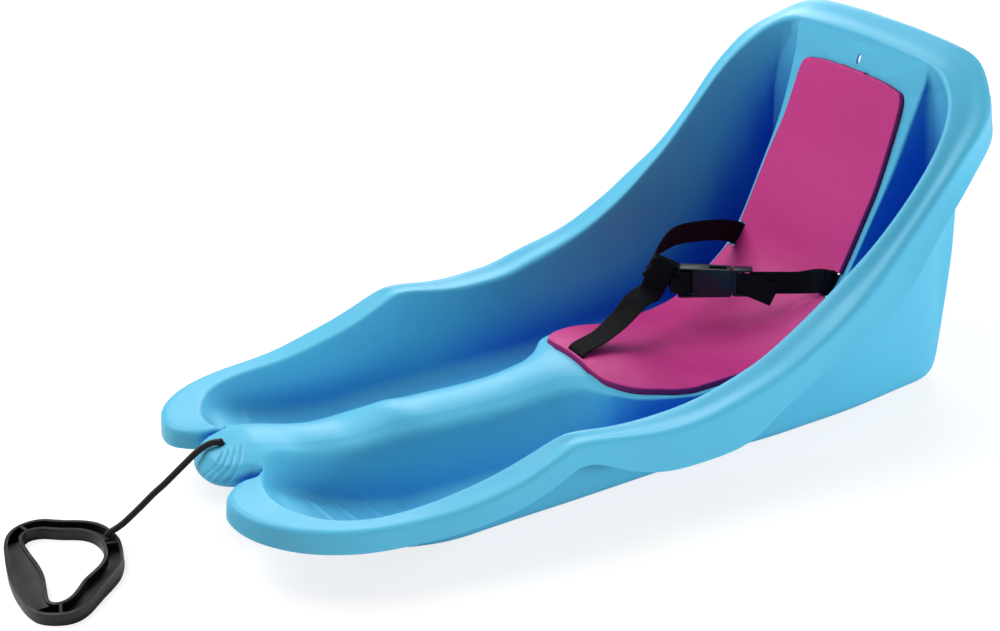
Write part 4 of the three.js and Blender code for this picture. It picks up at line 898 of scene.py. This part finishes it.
def pad_material():
    """Magenta foam with a fine grain, and painted shade: darker down its rounded edge and side."""
    s = Shader("pad_foam", 0.35)
    place = s.coordinates()
    face = s.mix(s.noise(place, 9), linear(198, 50, 130), linear(208, 58, 138))
    depth = s.across_and_along()[1]
    # Painted shade: the rounded edge and the side take a darker magenta
    s.to("Base Color", s.mix(s.ramp(depth, 0.5, 1.6), face, linear(150, 36, 104)))
    s.rough(s.noise(place, 45), 0.5, 0.62)
    grain = s.node("TexVoronoi", {"Vector": place, "Scale": 850.0})["Distance"]
    swell = s.bump(s.noise(place, 26, 2), 0.001, 0.3)
    s.to("Normal", s.bump(grain, 0.00012, 0.5, swell))
    return s.material


# Millimetres from one weft thread to the next and from one warp thread to the next
WEFT_PITCH, WARP_PITCH = 2.4, 1.6


def webbing_material():
    """Black woven webbing: slanted weft over fine warp, with painted highlights on its raised threads."""
    s = Shader("webbing", 0.1)
    across, along = s.across_and_along()
    slant = s.times(s.math("PINGPONG", across, WARP_PITCH), 0.12)
    phase = s.plus(s.times(along, 1 / WEFT_PITCH), slant)
    weft = s.math("SINE", s.times(phase, 2 * math.pi))
    warp = s.math("COSINE", s.times(across, 2 * math.pi / WARP_PITCH))
    fuzz = s.noise(s.coordinates(), 1400, 2)
    height = s.plus(s.plus(s.times(weft, 0.7), s.times(warp, 0.3)), s.times(fuzz, 0.5))
    # Painted highlight: the colour turns lighter grey where the weave rises
    s.to("Base Color", s.mix(s.ramp(height, -0.8, 1.2), linear(5, 5, 6), linear(34, 34, 37)))
    s.rough(fuzz, 0.7, 0.86)
    s.to("Normal", s.bump(height, 0.0004, 1.0))
    return s.material


def black_plastic_material():
    s = Shader("black_plastic", 0.5)
    place = s.coordinates()
    s.to("Base Color", s.mix(s.noise(place, 40), linear(14, 14, 15), linear(20, 20, 21)))
    s.rough(s.noise(place, 70, 4), 0.3, 0.42)
    s.to("Normal", s.bump(s.noise(place, 1300, 2), 0.00006, 0.5))
    return s.material


def cord_material():
    """Black cord, lighter grey where its strands rise."""
    s = Shader("tow_cord", 0.35)
    s.to("Sheen Weight", 0.1)
    around, along = s.across_and_along()
    strand = s.math("SINE", s.plus(s.times(along, 2.6), s.times(around, 40)))
    fuzz = s.noise(s.coordinates(), 1800)
    s.to("Base Color", s.mix(s.ramp(strand, -1, 1), linear(9, 9, 10), linear(30, 29, 31)))
    s.rough(fuzz, 0.55, 0.75)
    s.to("Normal", s.bump(s.plus(strand, fuzz), 0.00012, 0.6))
    return s.material


MATERIALS = {
    "shell_plastic": shell_material(), "pad_foam": pad_material(), "webbing": webbing_material(),
    "black_plastic": black_plastic_material(), "tow_cord": cord_material(),
}


# The tow rope: a braided cord along its route
def catmull(points, closed=False):
    """A function of t from 0 to 1 along a centripetal curve through the points."""
    points = [np.asarray(p, float) for p in points]
    count = len(points)
    spans = count if closed else count - 1

    def at(t):
        k = min(int(t * spans), spans - 1)
        weight = t * spans - k
        p1, p2 = points[k], points[(k + 1) % count]
        p0 = points[k - 1] if closed or k > 0 else 2 * p1 - p2
        p3 = points[(k + 2) % count] if closed or k + 2 < count else 2 * p2 - p1
        d0, d1, d2 = (math.sqrt(np.linalg.norm(b - a)) for a, b in ((p0, p1), (p1, p2), (p2, p3)))
        t1 = ((p1 - p0) / d0 - (p2 - p0) / (d0 + d1) + (p2 - p1) / d1) * d1
        t2 = ((p2 - p1) / d1 - (p3 - p1) / (d1 + d2) + (p3 - p2) / d2) * d1
        bend = -3 * p1 + 3 * p2 - 2 * t1 - t2
        return p1 + t1 * weight + bend * weight**2 + (2 * p1 - 2 * p2 + t1 + t2) * weight**3

    return at


def spaced(points, count, closed=False, samples=1201):
    """Points at equal distances along the curve."""
    curve = catmull(points, closed)
    many = np.array([curve(t) for t in np.linspace(0, 1, samples)])
    run = run_along(many)
    at = np.linspace(0, run[-1], count + 1 if closed else count)
    even = np.stack([np.interp(at, run, many[:, k]) for k in range(many.shape[1])], -1)
    return even[:-1] if closed else even


def tube_mesh(path, radius, sides=32, relief=None):
    """A closed tube along points that doesn't twist; relief(angle, run) adds to its radius."""
    path = np.asarray(path, float)
    way = unit(np.gradient(path, axis=0))
    side = unit(np.cross(way[0], [0.2, 0.1, 1.0] if abs(way[0][2]) < 0.9 else [1.0, 0, 0]))
    run = run_along(path)
    radii = np.broadcast_to(np.asarray(radius, float), (len(path),))
    points, uv = [], []
    for k, centre in enumerate(path):
        side = unit(side - way[k] * (side @ way[k]))
        other = np.cross(way[k], side)
        for s in range(sides + 1):
            angle = 2 * math.pi * s / sides
            r = radii[k] + (relief(angle, run[k]) if relief else 0)
            points.append(centre + (side * math.cos(angle) + other * math.sin(angle)) * r)
            uv.append((s / sides, run[k]))
    faces = grid_faces(len(path), sides + 1).tolist()
    first, base = len(points), len(points) - sides - 1
    for s in range(sides):
        faces += [[first, s + 1, s], [first + 1, base + s, base + s + 1]]
    points += [path[0], path[-1]]
    uv += [(0, 0), (0, run[-1])]
    return new_mesh("tube", points, faces, uv, merge=1e-7)


def braid(radius, strands=8, pitch=11.0, depth=0.07):
    """The relief of a braided cord: strands that cross left and right."""

    def relief(angle, run):
        turn = 2 * math.pi * run / pitch
        high = max(math.cos(strands / 2 * (angle + turn)), math.cos(strands / 2 * (angle - turn)))
        return radius * depth * (high - 1)

    return relief


ROPE_RADIUS = ROPE_DIAMETER / 2
# Even places along the rope; from the sixth last on it bends towards the handle
rope_route = spaced(ROPE_POINTS, 36)


def rope_mesh():
    """The cord, with a round end about its pivot."""
    path = spaced(ROPE_POINTS, 330)
    steps = np.arange(8, 0, -1) / 8
    cap = path[0] - unit(path[1] - path[0]) * (ROPE_RADIUS * steps)[:, None]
    radii = np.concatenate((np.sqrt(np.maximum(1 - steps**2, 0.01)), np.ones(len(path))))
    return tube_mesh(np.concatenate((cap, path)), ROPE_RADIUS * radii, 40, braid(ROPE_RADIUS))


rope = new_piece("tow_rope", "cord", rope_mesh(), "tow_cord", None, sharp=None)
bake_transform(rope)


# The shell: the heights that cutters start at, and end at for the shell and for the pad
CUT_LOW, CUT_SHELL, CUT_PAD = -12, 12, 18


def slot_cutters(high, waist_width, waist_shift):
    """Prisms for the three strap slots; those at the waist may be wider and lie farther out."""
    crotch = box_outline(CROTCH_SLOT_WIDTH, CROTCH_SLOT_LENGTH, 2)
    waist = box_outline(waist_width, WAIST_SLOT_HEIGHT, 3)
    x = WAIST_SLOT_OFFSET + waist_shift
    return [prism_mesh(crotch, CUT_LOW, high, seat_frame(CROTCH_SLOT_RIB, 0))] + [
        prism_mesh(waist, CUT_LOW, high, seat_frame(WAIST_SLOT_RIB, side * x)) for side in (-1, 1)
    ]


def make_shell():
    upper, lower = skin_mesh()
    faces = slab_faces(*upper.shape[:2], False)
    mesh = new_mesh("shell", np.concatenate((upper, lower)), faces, merge=2e-6)
    hole = ROPE_DIAMETER + 2 * ROPE_HOLE_CLEARANCE
    holes = [
        prism_mesh(oval_outline(width, height), CUT_LOW, CUT_SHELL, seat_frame(rib, 0))
        for width, height, rib in (
            (hole, hole, ROPE_HOLE_RIB), (HANGING_HOLE_WIDTH, HANGING_HOLE_HEIGHT, HANGING_HOLE_RIB)
        )
    ]
    mesh = cut(mesh, *holes, *slot_cutters(CUT_SHELL, WAIST_SLOT_WIDTH, 0))
    new_piece("sled_shell", "skin", mesh, "shell_plastic", "sled", sharp=50)


make_shell()


# The foam pad: how far its rounded edge lies in from its outline, and below its face
PAD_INSETS = np.array([0.0, 0.12, 0.35, 0.75, 1.4, 2.4])
PAD_DROPS = np.array([1.15, 0.62, 0.28, 0.09, 0.015, 0.0])
# The step along its outline, and how far behind their ribs its two ends lie along the spine
PAD_STEP, PAD_START, PAD_END = 1.1, 0.35, 1.2
PAD_COLUMNS = 40
# The edge is drawn together where the pad is narrower than this on each side
PAD_NARROW = 12
# The pad's notches at the waist slots are wider than the slots
NOTCH_EXTRA = 12


def pad_stops():
    """Places of the pad's rows on the spine, even along its outline and close together at its ends."""
    many = np.linspace(PAD_FRONT_RIB, PAD_TOP_RIB, 4001)
    run = spine_run(many)
    length = run_along(np.stack([run, pad_half(many)], -1))
    runs = np.interp(np.arange(0, length[-1], PAD_STEP), length, run)
    start, end = run[0] + PAD_START, run[-1] + PAD_END
    inside = runs[(runs > start + PAD_INSETS[-1]) & (runs < end - PAD_INSETS[-1])]
    return np.unique(np.round(np.concatenate((start + PAD_INSETS, inside, end - PAD_INSETS)), 4))


def pad_edge_distance(run, x):
    """How far places of the pad lie inside its outline, along the spine and across."""
    many = np.linspace(PAD_FRONT_RIB, PAD_TOP_RIB, 700)
    side = np.stack([np.clip(spine_run(many), run[0], run[-1]), pad_half(many)], -1)
    outline = np.concatenate(([[run[0], 0]], side, [[run[-1], 0]]))
    a, way = outline[:-1], np.diff(outline, axis=0)
    place = np.stack([np.broadcast_to(run[:, None], x.shape), np.abs(x)], -1).reshape(-1, 1, 2)
    best = np.full(place.shape[0], 1e9)
    for k in range(0, len(place), 2000):
        part = place[k:k + 2000] - a
        t = np.clip((part * way).sum(-1) / np.maximum((way * way).sum(-1), 1e-9), 0, 1)
        best[k:k + 2000] = np.linalg.norm(part - way * t[..., None], axis=-1).min(1)
    return best.reshape(x.shape)


def make_pad():
    runs = pad_stops()
    ribs = np.interp(runs, SPINE_RUN, SPINE_TABLE)
    half = pad_half(ribs)
    shares = np.arange(-PAD_COLUMNS, PAD_COLUMNS + 1) / PAD_COLUMNS
    insets = PAD_INSETS[None, :] * np.minimum(1, half / PAD_NARROW)[:, None]
    middle = shares[None, :] * (half - insets[:, -1])[:, None]
    sides = half[:, None] - insets[:, -2::-1]
    x = np.concatenate((-sides[:, ::-1], middle, sides), 1)
    depth = np.interp(pad_edge_distance(runs, x), PAD_INSETS, PAD_DROPS)
    grids = [
        np.stack([seat_point(ribs, x[:, k], PAD_RISE - low[:, k]) for k in range(x.shape[1])], 1)
        for low in (depth, 0 * depth + PAD_THICKNESS)
    ]
    uv = np.concatenate((
        np.stack([0 * depth, depth], -1).reshape(-1, 2), np.full((x.size, 2), PAD_THICKNESS)
    ))
    mesh = new_mesh("pad", np.concatenate(grids), slab_faces(*x.shape, True), uv, merge=1e-6)
    mesh = cut(mesh, *slot_cutters(CUT_PAD, WAIST_SLOT_WIDTH + NOTCH_EXTRA, NOTCH_EXTRA / 2))
    new_piece("seat_pad", "foam", mesh, "pad_foam", "sled", sharp=45)


make_pad()


# The harness
def vector(*values):
    return np.array(values, float)


def matrix_point(place, *values):
    return np.array(place @ Vector(values))


def matrix_way(place, *values):
    return np.array((place.to_3x3() @ Vector(values)).normalized())


# Where the straps start, under the seat's face: at the skin's underside in the pad's recess
STRAP_START = -(RECESS_DEPTH + SKIN_WALL)


def waist_stops(side):
    """A waist strap's way out of its slot: points, each with the strap's way across."""
    along = spine_ways(np.array(WAIST_SLOT_RIB))[0]
    return [
        (seat_point(WAIST_SLOT_RIB, side * WAIST_SLOT_OFFSET, lift), along)
        for lift in (STRAP_START, 0.0, WEBBING_WIDTH / 2)
    ]


def buckle_frame():
    end = vector(*BUCKLE_END_SHARES) * SIZE
    slot = seat_point(WAIST_SLOT_RIB, WAIST_SLOT_OFFSET, WEBBING_WIDTH / 4)
    along = unit(slot - end)
    facing = unit(vector(along[1], -along[0], 0))
    return frame_at(end, along, np.cross(facing, along), facing)


def loop_frame():
    along = unit(vector(*LOOP_WAY_SHARES))
    up = unit(vector(0, 0, 1) - along * along[2])
    return frame_at(vector(*LOOP_PLACE_SHARES) * SIZE, along, up, np.cross(along, up))


BUCKLE, LOOP = buckle_frame(), loop_frame()
BUCKLE_UP, LOOP_UP = matrix_way(BUCKLE, 0, 1, 0), matrix_way(LOOP, 0, 1, 0)
# The plug's outer bar, along the buckle
PLUG_BAR = SOCKET_LENGTH + SLIDE_CLEARANCE + PLUG_LENGTH - PLUG_BAR_WIDTH


def on_buckle(*place):
    return matrix_point(BUCKLE, *place)


# The webbing's round edge: where it starts as a share of the thickness, where its corner lies as a share
# of that, and how high the corner is as a share of the thickness
EDGE_START, EDGE_CORNER, EDGE_THICKNESS = 0.42, 0.2, 0.28


def webbing_section():
    """The outline of the webbing's section."""
    half, thick = WEBBING_WIDTH / 2, WEBBING_THICKNESS
    edge = thick * EDGE_START
    corner, low = half - edge * EDGE_CORNER, thick * EDGE_THICKNESS
    front = [(u, thick / 2) for u in np.linspace(edge - half, half - edge, 9)]
    front += [(corner, low), (half, 0), (corner, -low)]
    return front + [(-u, -w) for u, w in front]


def strap_mesh(stops, steps):
    """Webbing along stops of (point, way across)."""
    curve = catmull([stop[0] for stop in stops])
    ways = [np.asarray(stop[1], float) for stop in stops]
    spans = len(stops) - 1
    section = webbing_section()
    size = len(section)
    points, uv, faces, run, last = [], [], [], 0.0, None
    for k in range(steps + 1):
        t = k / steps
        near = min(int(t * spans), spans - 1)
        across = ways[near] + (ways[near + 1] - ways[near]) * smooth(0, 1, t * spans - near)
        point = curve(t)
        way = unit(curve(min(t + 1e-4, 1)) - curve(max(t - 1e-4, 0)))
        across = unit(across - way * (across @ way))
        out = np.cross(way, across)
        run += 0 if last is None else np.linalg.norm(point - last)
        last = point
        points += [point + across * u + out * w for u, w in section]
        uv += [(u + WEBBING_WIDTH, run) for u, _ in section]
    for a in range(0, steps * size, size):
        for j in range(size):
            n = (j + 1) % size
            faces.append([a + j, a + n, a + size + n, a + size + j])
    faces += [range(size)[::-1], range(steps * size, (steps + 1) * size)]
    return new_mesh("strap", points, faces, uv, merge=0)


def from_shares(row):
    return vector(*row[:3]) * SIZE, vector(*row[3:])


# How far to the left the strap may stand out of the loop, as a share of its width
LOOP_SIDE = -0.5


def left_stops():
    """From the left slot through the loop, over the socket's bar and back under it."""
    front = BAR_RADIUS + PIECE_GAP + WEBBING_THICKNESS / 2
    turn = BAR_INSET + BAR_RADIUS + STRAP_WINDOW
    in_loop = [
        (matrix_point(LOOP, *(WEBBING_WIDTH * value for value in (max(a, LOOP_SIDE), b, c))), LOOP_UP)
        for a, b, c in STRAP_IN_LOOP_SHARES
    ]
    on_bar = [(on_buckle(along, 0, height), BUCKLE_UP) for along, height in (
        (-BAR_INSET, front), (BAR_INSET - BAR_RADIUS, front + 1.5), (BAR_INSET, front + 2),
        (turn - 3.5, front + 2), (turn - 1.4, front + 0.8), (turn - 1, 0),
        (BAR_INSET - 0.6, -front), (-BAR_INSET - 4, -front - 0.2),
    )]
    return waist_stops(-1) + [from_shares(row) for row in LEFT_STRAP_SHARES] + in_loop + on_bar


def right_stops():
    """From the right slot straight to the plug's bar."""
    front = PLUG_BAR_WIDTH / 2 + PIECE_GAP + WEBBING_THICKNESS / 2
    stops = waist_stops(1)
    reach = (BUCKLE.inverted() @ Vector(stops[2][0])).x
    return stops + [
        (on_buckle(PLUG_BAR + (reach - PLUG_BAR) * share, 0, front * (1 - share)), BUCKLE_UP)
        for share in RIGHT_STRAP_SHARES
    ]


# How much of the plug the tail covers beside the bar, how far below the buckle's middle its hanging part
# starts and ends, how far out it reaches as a share of its length, and how much it leans
TAIL_COVER = 9.2
TAIL_FALL = (2, 13)
TAIL_REACH, TAIL_LEAN = 0.88, 0.3


def tail_stops():
    """From inside the plug over its bar and down."""
    front = PLUG_BAR_WIDTH / 2 + 2 * PIECE_GAP + 1.5 * WEBBING_THICKNESS
    reach = PLUG_BAR_WIDTH + TAIL_COVER
    stops = [(on_buckle(PLUG_BAR - along, up, front + rise), BUCKLE_UP) for along, up, rise in (
        (reach, 0, -2 * PLUG_BAR_WIDTH), (reach - 0.6, 0, -0.8), (reach - 2.2, 0, 0.2), (reach / 2, -0.4, 0.2)
    )]
    lean = matrix_way(BUCKLE, TAIL_LEAN, 1, 0)
    for share in TAIL_SHARES:
        fall = TAIL_FALL[0] + (TAIL_FALL[1] - TAIL_FALL[0]) * share
        along = PLUG_BAR + TAIL_REACH * share * TAIL_LENGTH
        stops.append((on_buckle(along, -fall, front + share * WEBBING_THICKNESS), lean))
    return stops


def crotch_stops():
    """From the slot at the seat's front up into a loop round the left strap."""
    across = vector(1, 0, 0)
    stops = [
        (seat_point(CROTCH_SLOT_RIB, 0, lift), across)
        for lift in (STRAP_START, 0.0, PAD_RISE + WEBBING_THICKNESS)
    ]
    stops += [from_shares(row) for row in CROTCH_STRAP_SHARES]
    along = matrix_way(LOOP, 1, 0, 0)
    layer = WEBBING_THICKNESS + 3 * PIECE_GAP
    rise, foot = WEBBING_WIDTH * LOOP_RISE_SHARE, WEBBING_WIDTH * LOOP_FOOT_SHARE
    return stops + [(matrix_point(LOOP, 0, up, forward), along) for up, forward in (
        (-foot, layer), (-rise, layer), (0, layer), (rise, layer), (rise + layer, 0), (rise, -layer),
        (0, -layer), (-rise, -layer), (-foot, layer - WEBBING_THICKNESS - PIECE_GAP),
    )]


# The right strap stretches from its slot to the plug's bar
for name, stops, steps, body in (
    ("waist_strap_left", left_stops(), 260, "sled"),
    ("waist_strap_right", right_stops(), 90, None),
    ("strap_tail", tail_stops(), 60, "plug"),
    ("crotch_strap", crotch_stops(), 240, "sled"),
):
    strap = new_piece(name, "webbing", strap_mesh(stops, steps), "webbing", body)
    if body is None:
        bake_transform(strap)


# The buckle: the thickness of cutters that pass through it, and how far cutters reach past its sides
CUT_THROUGH, CUT_PAST = 30, 12
# Thin raised lines across both of the socket's faces, beside the strap's window
RIDGE_WIDTH, RIDGE_THICKNESS, RIDGE_SHORTER = 1.1, 1.8, 2
RIDGE_PLACES = (1.2, 3.4, 6.4)


def plate_mesh(width, height, thickness, x=0.0, radius=0.0, middle=0.0):
    """A plate across the buckle's middle plane, its middle at x along the buckle."""
    outline = box_outline(width, height, radius, (x, 0))
    return prism_mesh(outline, middle - thickness / 2, middle + thickness / 2)


def finished(mesh, place, bevel=0.6, segments=3):
    """The mesh with its edges softened, put in its frame."""
    mesh = bevelled(mesh, bevel, segments, 35)
    turn = place.copy()
    turn.translation = turn.translation * MM
    shift = Matrix.Translation(SHIFT * MM)
    mesh.transform(shift @ turn @ shift.inverted())
    return mesh


def rounded_polygon(corners, radius, segments):
    corners = [vector(*corner) for corner in corners]
    outline = []
    for before, corner, after in zip(corners[-1:] + corners, corners, corners[1:] + corners[:1]):
        start = corner + unit(before - corner) * radius
        end = corner + unit(after - corner) * radius
        outline += [tuple(bezier(start, corner, end, t)) for t in np.linspace(0, 1, segments + 1)]
    return outline


def socket_mesh():
    half, mouth = SOCKET_HEIGHT / 2, SOCKET_MOUTH_HEIGHT / 2
    corners = [(0, -half), (SOCKET_LENGTH, -mouth), (SOCKET_LENGTH, mouth), (0, half)]
    outline = rounded_polygon(corners, SOCKET_CORNER, 8)
    release = SOCKET_LENGTH - RELEASE_WINDOW_START - RELEASE_WINDOW_LENGTH / 2
    slot = WEBBING_WIDTH + 2 * SLOT_CLEARANCE
    bar_end = BAR_INSET + BAR_RADIUS
    return cut(
        prism_mesh(outline, -SOCKET_THICKNESS / 2, SOCKET_THICKNESS / 2),
        plate_mesh(
            CAVITY_LENGTH + CUT_PAST, 2 * (mouth - SOCKET_WALL), SOCKET_THICKNESS - 2 * SOCKET_WALL,
            SOCKET_LENGTH + (CUT_PAST - CAVITY_LENGTH) / 2,
        ),
        plate_mesh(
            RELEASE_WINDOW_LENGTH, SOCKET_HEIGHT + CUT_PAST, PRONG_THICKNESS + 2 * SLIDE_CLEARANCE, release
        ),
        plate_mesh(STRAP_WINDOW, slot, CUT_THROUGH, bar_end + STRAP_WINDOW / 2, 1),
        plate_mesh(bar_end + CUT_PAST, slot, CUT_THROUGH, (bar_end - CUT_PAST) / 2),
    )


def joined(meshes):
    bm = bmesh.new()
    for mesh in meshes:
        bm.from_mesh(mesh)
    whole = bpy.data.meshes.new("joined")
    bm.to_mesh(whole)
    bm.free()
    return whole


def socket_ridges():
    start = BAR_INSET + BAR_RADIUS + STRAP_WINDOW
    return [
        finished(plate_mesh(
            RIDGE_WIDTH, SOCKET_MOUTH_HEIGHT - RIDGE_SHORTER, RIDGE_THICKNESS, start + k, 0.4,
            side * SOCKET_THICKNESS / 2,
        ), BUCKLE, 0.3, 2)
        for k in RIDGE_PLACES for side in (-1, 1)
    ]


new_piece(
    "buckle_socket", "body", joined([finished(socket_mesh(), BUCKLE)] + socket_ridges()),
    "black_plastic", "sled", sharp=35,
)


# The pull handle
HANDLE = Matrix.Translation((
    ROPE_POINTS[-1][0] - HANDLE_MOUTH_SHARES[0] * HANDLE_WIDTH / 2,
    ROPE_POINTS[-1][1] - HANDLE_MOUTH_SHARES[1] * HANDLE_LENGTH, 0,
))


def handle_outline(shares, count):
    points = [(x * HANDLE_WIDTH / 2, y * HANDLE_LENGTH, 0) for x, y in shares]
    outline = spaced(points, count, closed=True)[:, :2]
    return outline[::-1] if doubled_area(outline) < 0 else outline


def drawn_in(outline, distance):
    """The outline moved inward."""
    way = unit(np.roll(outline, -1, axis=0) - np.roll(outline, 1, axis=0))
    return outline + np.stack([-way[:, 1], way[:, 0]], -1) * distance


# What the handle's cutters reach from and to, well past its faces
HOLE_CUT, ISLAND_CUT, WEB_CUT, RIB_CUT = (-5, 40), (-5, 45), (-10, 60), (-20, 60)


def handle_mesh():
    """A plate with a hole, hollowed from above between its walls and its cross ribs."""
    outer, hole = handle_outline(HANDLE_OUTLINE_SHARES, 140), handle_outline(HANDLE_HOLE_SHARES, 110)
    wide, narrow = drawn_in(outer, HANDLE_WALL), drawn_in(hole, -HANDLE_WALL)

    def channel(depth):
        return cut(prism_mesh(wide, HANDLE_HEIGHT - depth, HOLE_CUT[1]), prism_mesh(narrow, *ISLAND_CUT))

    web = box_outline(GRIP_WEB_WIDTH, 2 * GRIP_WEB_LENGTH, 4, (0, -HANDLE_LENGTH))
    ribs = [
        prism_mesh(
            box_outline(HANDLE_WIDTH / 5, CROSS_RIB), *RIB_CUT,
            Matrix.Translation((x * HANDLE_WIDTH / 2, y * HANDLE_LENGTH, 0)) @ Matrix.Rotation(turn, 4, "Z"),
        )
        for x, y, turn in CROSS_RIB_SHARES
    ]
    return cut(
        prism_mesh(outer, 0, HANDLE_HEIGHT), prism_mesh(hole, *HOLE_CUT),
        cut(channel(GRIP_RECESS), *ribs), cut(channel(ARM_RECESS), prism_mesh(web, *WEB_CUT), *ribs),
    )


handle = new_piece("pull_handle", "body", finished(handle_mesh(), HANDLE, 0.9), "black_plastic", "handle")


def softened(name, body, width):
    """The CAD piece's own shape with its edges rounded."""
    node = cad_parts[name]
    mesh = node.data.copy()
    mesh.transform(node.matrix_world)
    bm = bmesh.new()
    bm.from_mesh(mesh)
    bmesh.ops.remove_doubles(bm, verts=bm.verts, dist=2e-6)
    bmesh.ops.dissolve_limit(bm, angle_limit=math.radians(1), verts=bm.verts, edges=bm.edges)
    bm.to_mesh(mesh)
    bm.free()
    new_piece(name, "piece", bevelled(mesh, width, 3, 30), "black_plastic", body, sharp=35)


for name, body, width in (
    ("buckle_plug", "plug", 0.5), ("release_prong_upper", "prong_upper", 0.45),
    ("release_prong_lower", "prong_lower", 0.45), ("strap_stop_left", "sled", 0.3),
    ("strap_stop_right", "sled", 0.3), ("strap_stop_crotch", "sled", 0.3),
):
    softened(name, body, width)


# Radii of the cord in the knots, and of the rope's stub and its dome as shares of the rope's
KNOT_STRAND, HANDLE_KNOT_STRAND = 2.6, 1.3
STUB_SHARE, DOME_SHARE = 0.93, 0.92


def knot_path(radius, strand, turn=0.0):
    """A closed overhand knot that fits in a ball of the radius."""
    t = np.linspace(0, 2 * math.pi, 181)
    path = np.stack([np.sin(t) + 2 * np.sin(2 * t), np.cos(t) - 2 * np.cos(2 * t), -np.sin(3 * t)], -1)
    c, n = math.cos(turn), math.sin(turn)
    path = path @ np.array([[c, n, 0], [-n, c, 0], [0, 0, 1]])
    return path * ((radius - strand) / 3.0)


def rope_knot_mesh():
    """The knot under the nose, and the rope's stub up through the hole to the pivot."""
    place = seat_frame(ROPE_HOLE_RIB, 0)
    low, high = -(SKIN_WALL + PIECE_GAP + KNOT_RADIUS), ROPE_RADIUS + PIECE_GAP
    stub, dome = STUB_SHARE * ROPE_RADIUS, DOME_SHARE * ROPE_RADIUS
    dome_radii = dome * np.sqrt(np.maximum(1 - (np.arange(9) / 8) ** 2, 0.001))

    def tube(path, *shape):
        return tube_mesh([matrix_point(place, *point) for point in path], *shape)

    def upward(start, end, count):
        return [(0, 0, z) for z in np.linspace(start, end, count)]

    return [
        tube(knot_path(KNOT_RADIUS, KNOT_STRAND) + vector(0, 0, low), KNOT_STRAND, 24),
        tube(upward(low, high, 40), stub, 32, braid(stub)),
        tube(upward(high, high + dome, 9), dome_radii, 24),
    ]


new_piece("rope_knot", "cord", joined(rope_knot_mesh()), "tow_cord", "sled", sharp=None)
handle_knot_middle = np.array([
    ROPE_POINTS[-1][0], ROPE_POINTS[-1][1], HANDLE_HEIGHT - ARM_RECESS + HANDLE_KNOT_RADIUS + PIECE_GAP
])
handle_knot_path = knot_path(HANDLE_KNOT_RADIUS, HANDLE_KNOT_STRAND, 0.4) + handle_knot_middle
handle_knot = new_piece(
    "handle_knot", "cord", tube_mesh(handle_knot_path, HANDLE_KNOT_STRAND, 20), "tow_cord", "handle",
    sharp=None,
)


# Floor, light and background; each lamp has a place, a target, a size and its watts
LAMPS = (
    ("key", (-1.1, -1.1, 2.2), (0, 0, 0.1), 1.8, 56),
    ("back", (-2.1, 1.6, 1.5), (0, 0, 0.1), 2.0, 44),
    ("right", (2.4, 1.9, 0.3), (0, 0.1, 0.1), 1.0, 70),
    ("front", (0.9, -2.4, 0.8), (0, 0, 0.1), 1.2, 2),
)
# The lamps that shine back from the surfaces
GLOSSY_LAMPS = ("key", "back")


def make_stage():
    bpy.ops.mesh.primitive_plane_add(size=30)
    floor = bpy.context.object
    floor.name = "floor"
    s = Shader("floor_white", 0.1)
    s.to("Roughness", 0.9)
    seen = s.node("LightPath")["Is Camera Ray"]
    s.to("Base Color", s.mix(seen, (0.8, 0.8, 0.8, 1), (0.34, 0.335, 0.33, 1)))
    s.to("Emission Color", (1, 1, 1, 1))
    s.to("Emission Strength", s.times(seen, 0.78))
    floor.data.materials.append(s.material)

    world = bpy.data.worlds.new("world")
    bpy.context.scene.world = world
    world.use_nodes = True
    w = Nodes(world.node_tree)
    w.put(w.tree.nodes["World Output"].inputs["Surface"], w.node("MixShader", {
        0: w.node("LightPath")["Is Camera Ray"],
        1: w.node("Background", {"Color": (0.94, 0.97, 1.0, 1), "Strength": 0.26})[0],
        2: w.node("Background", {"Color": (1, 1, 1, 1), "Strength": 1.0})[0],
    })[0])

    for name, place, target, size, power in LAMPS:
        data = bpy.data.lights.new(name, "AREA")
        data.energy, data.size = power, size
        lamp = linked(name, data)
        lamp.location = place
        lamp.visible_glossy = name in GLOSSY_LAMPS
        lamp.rotation_euler = (Vector(target) - Vector(place)).to_track_quat("-Z", "Y").to_euler()


make_stage()
bpy.context.scene.view_settings.view_transform = "Standard"
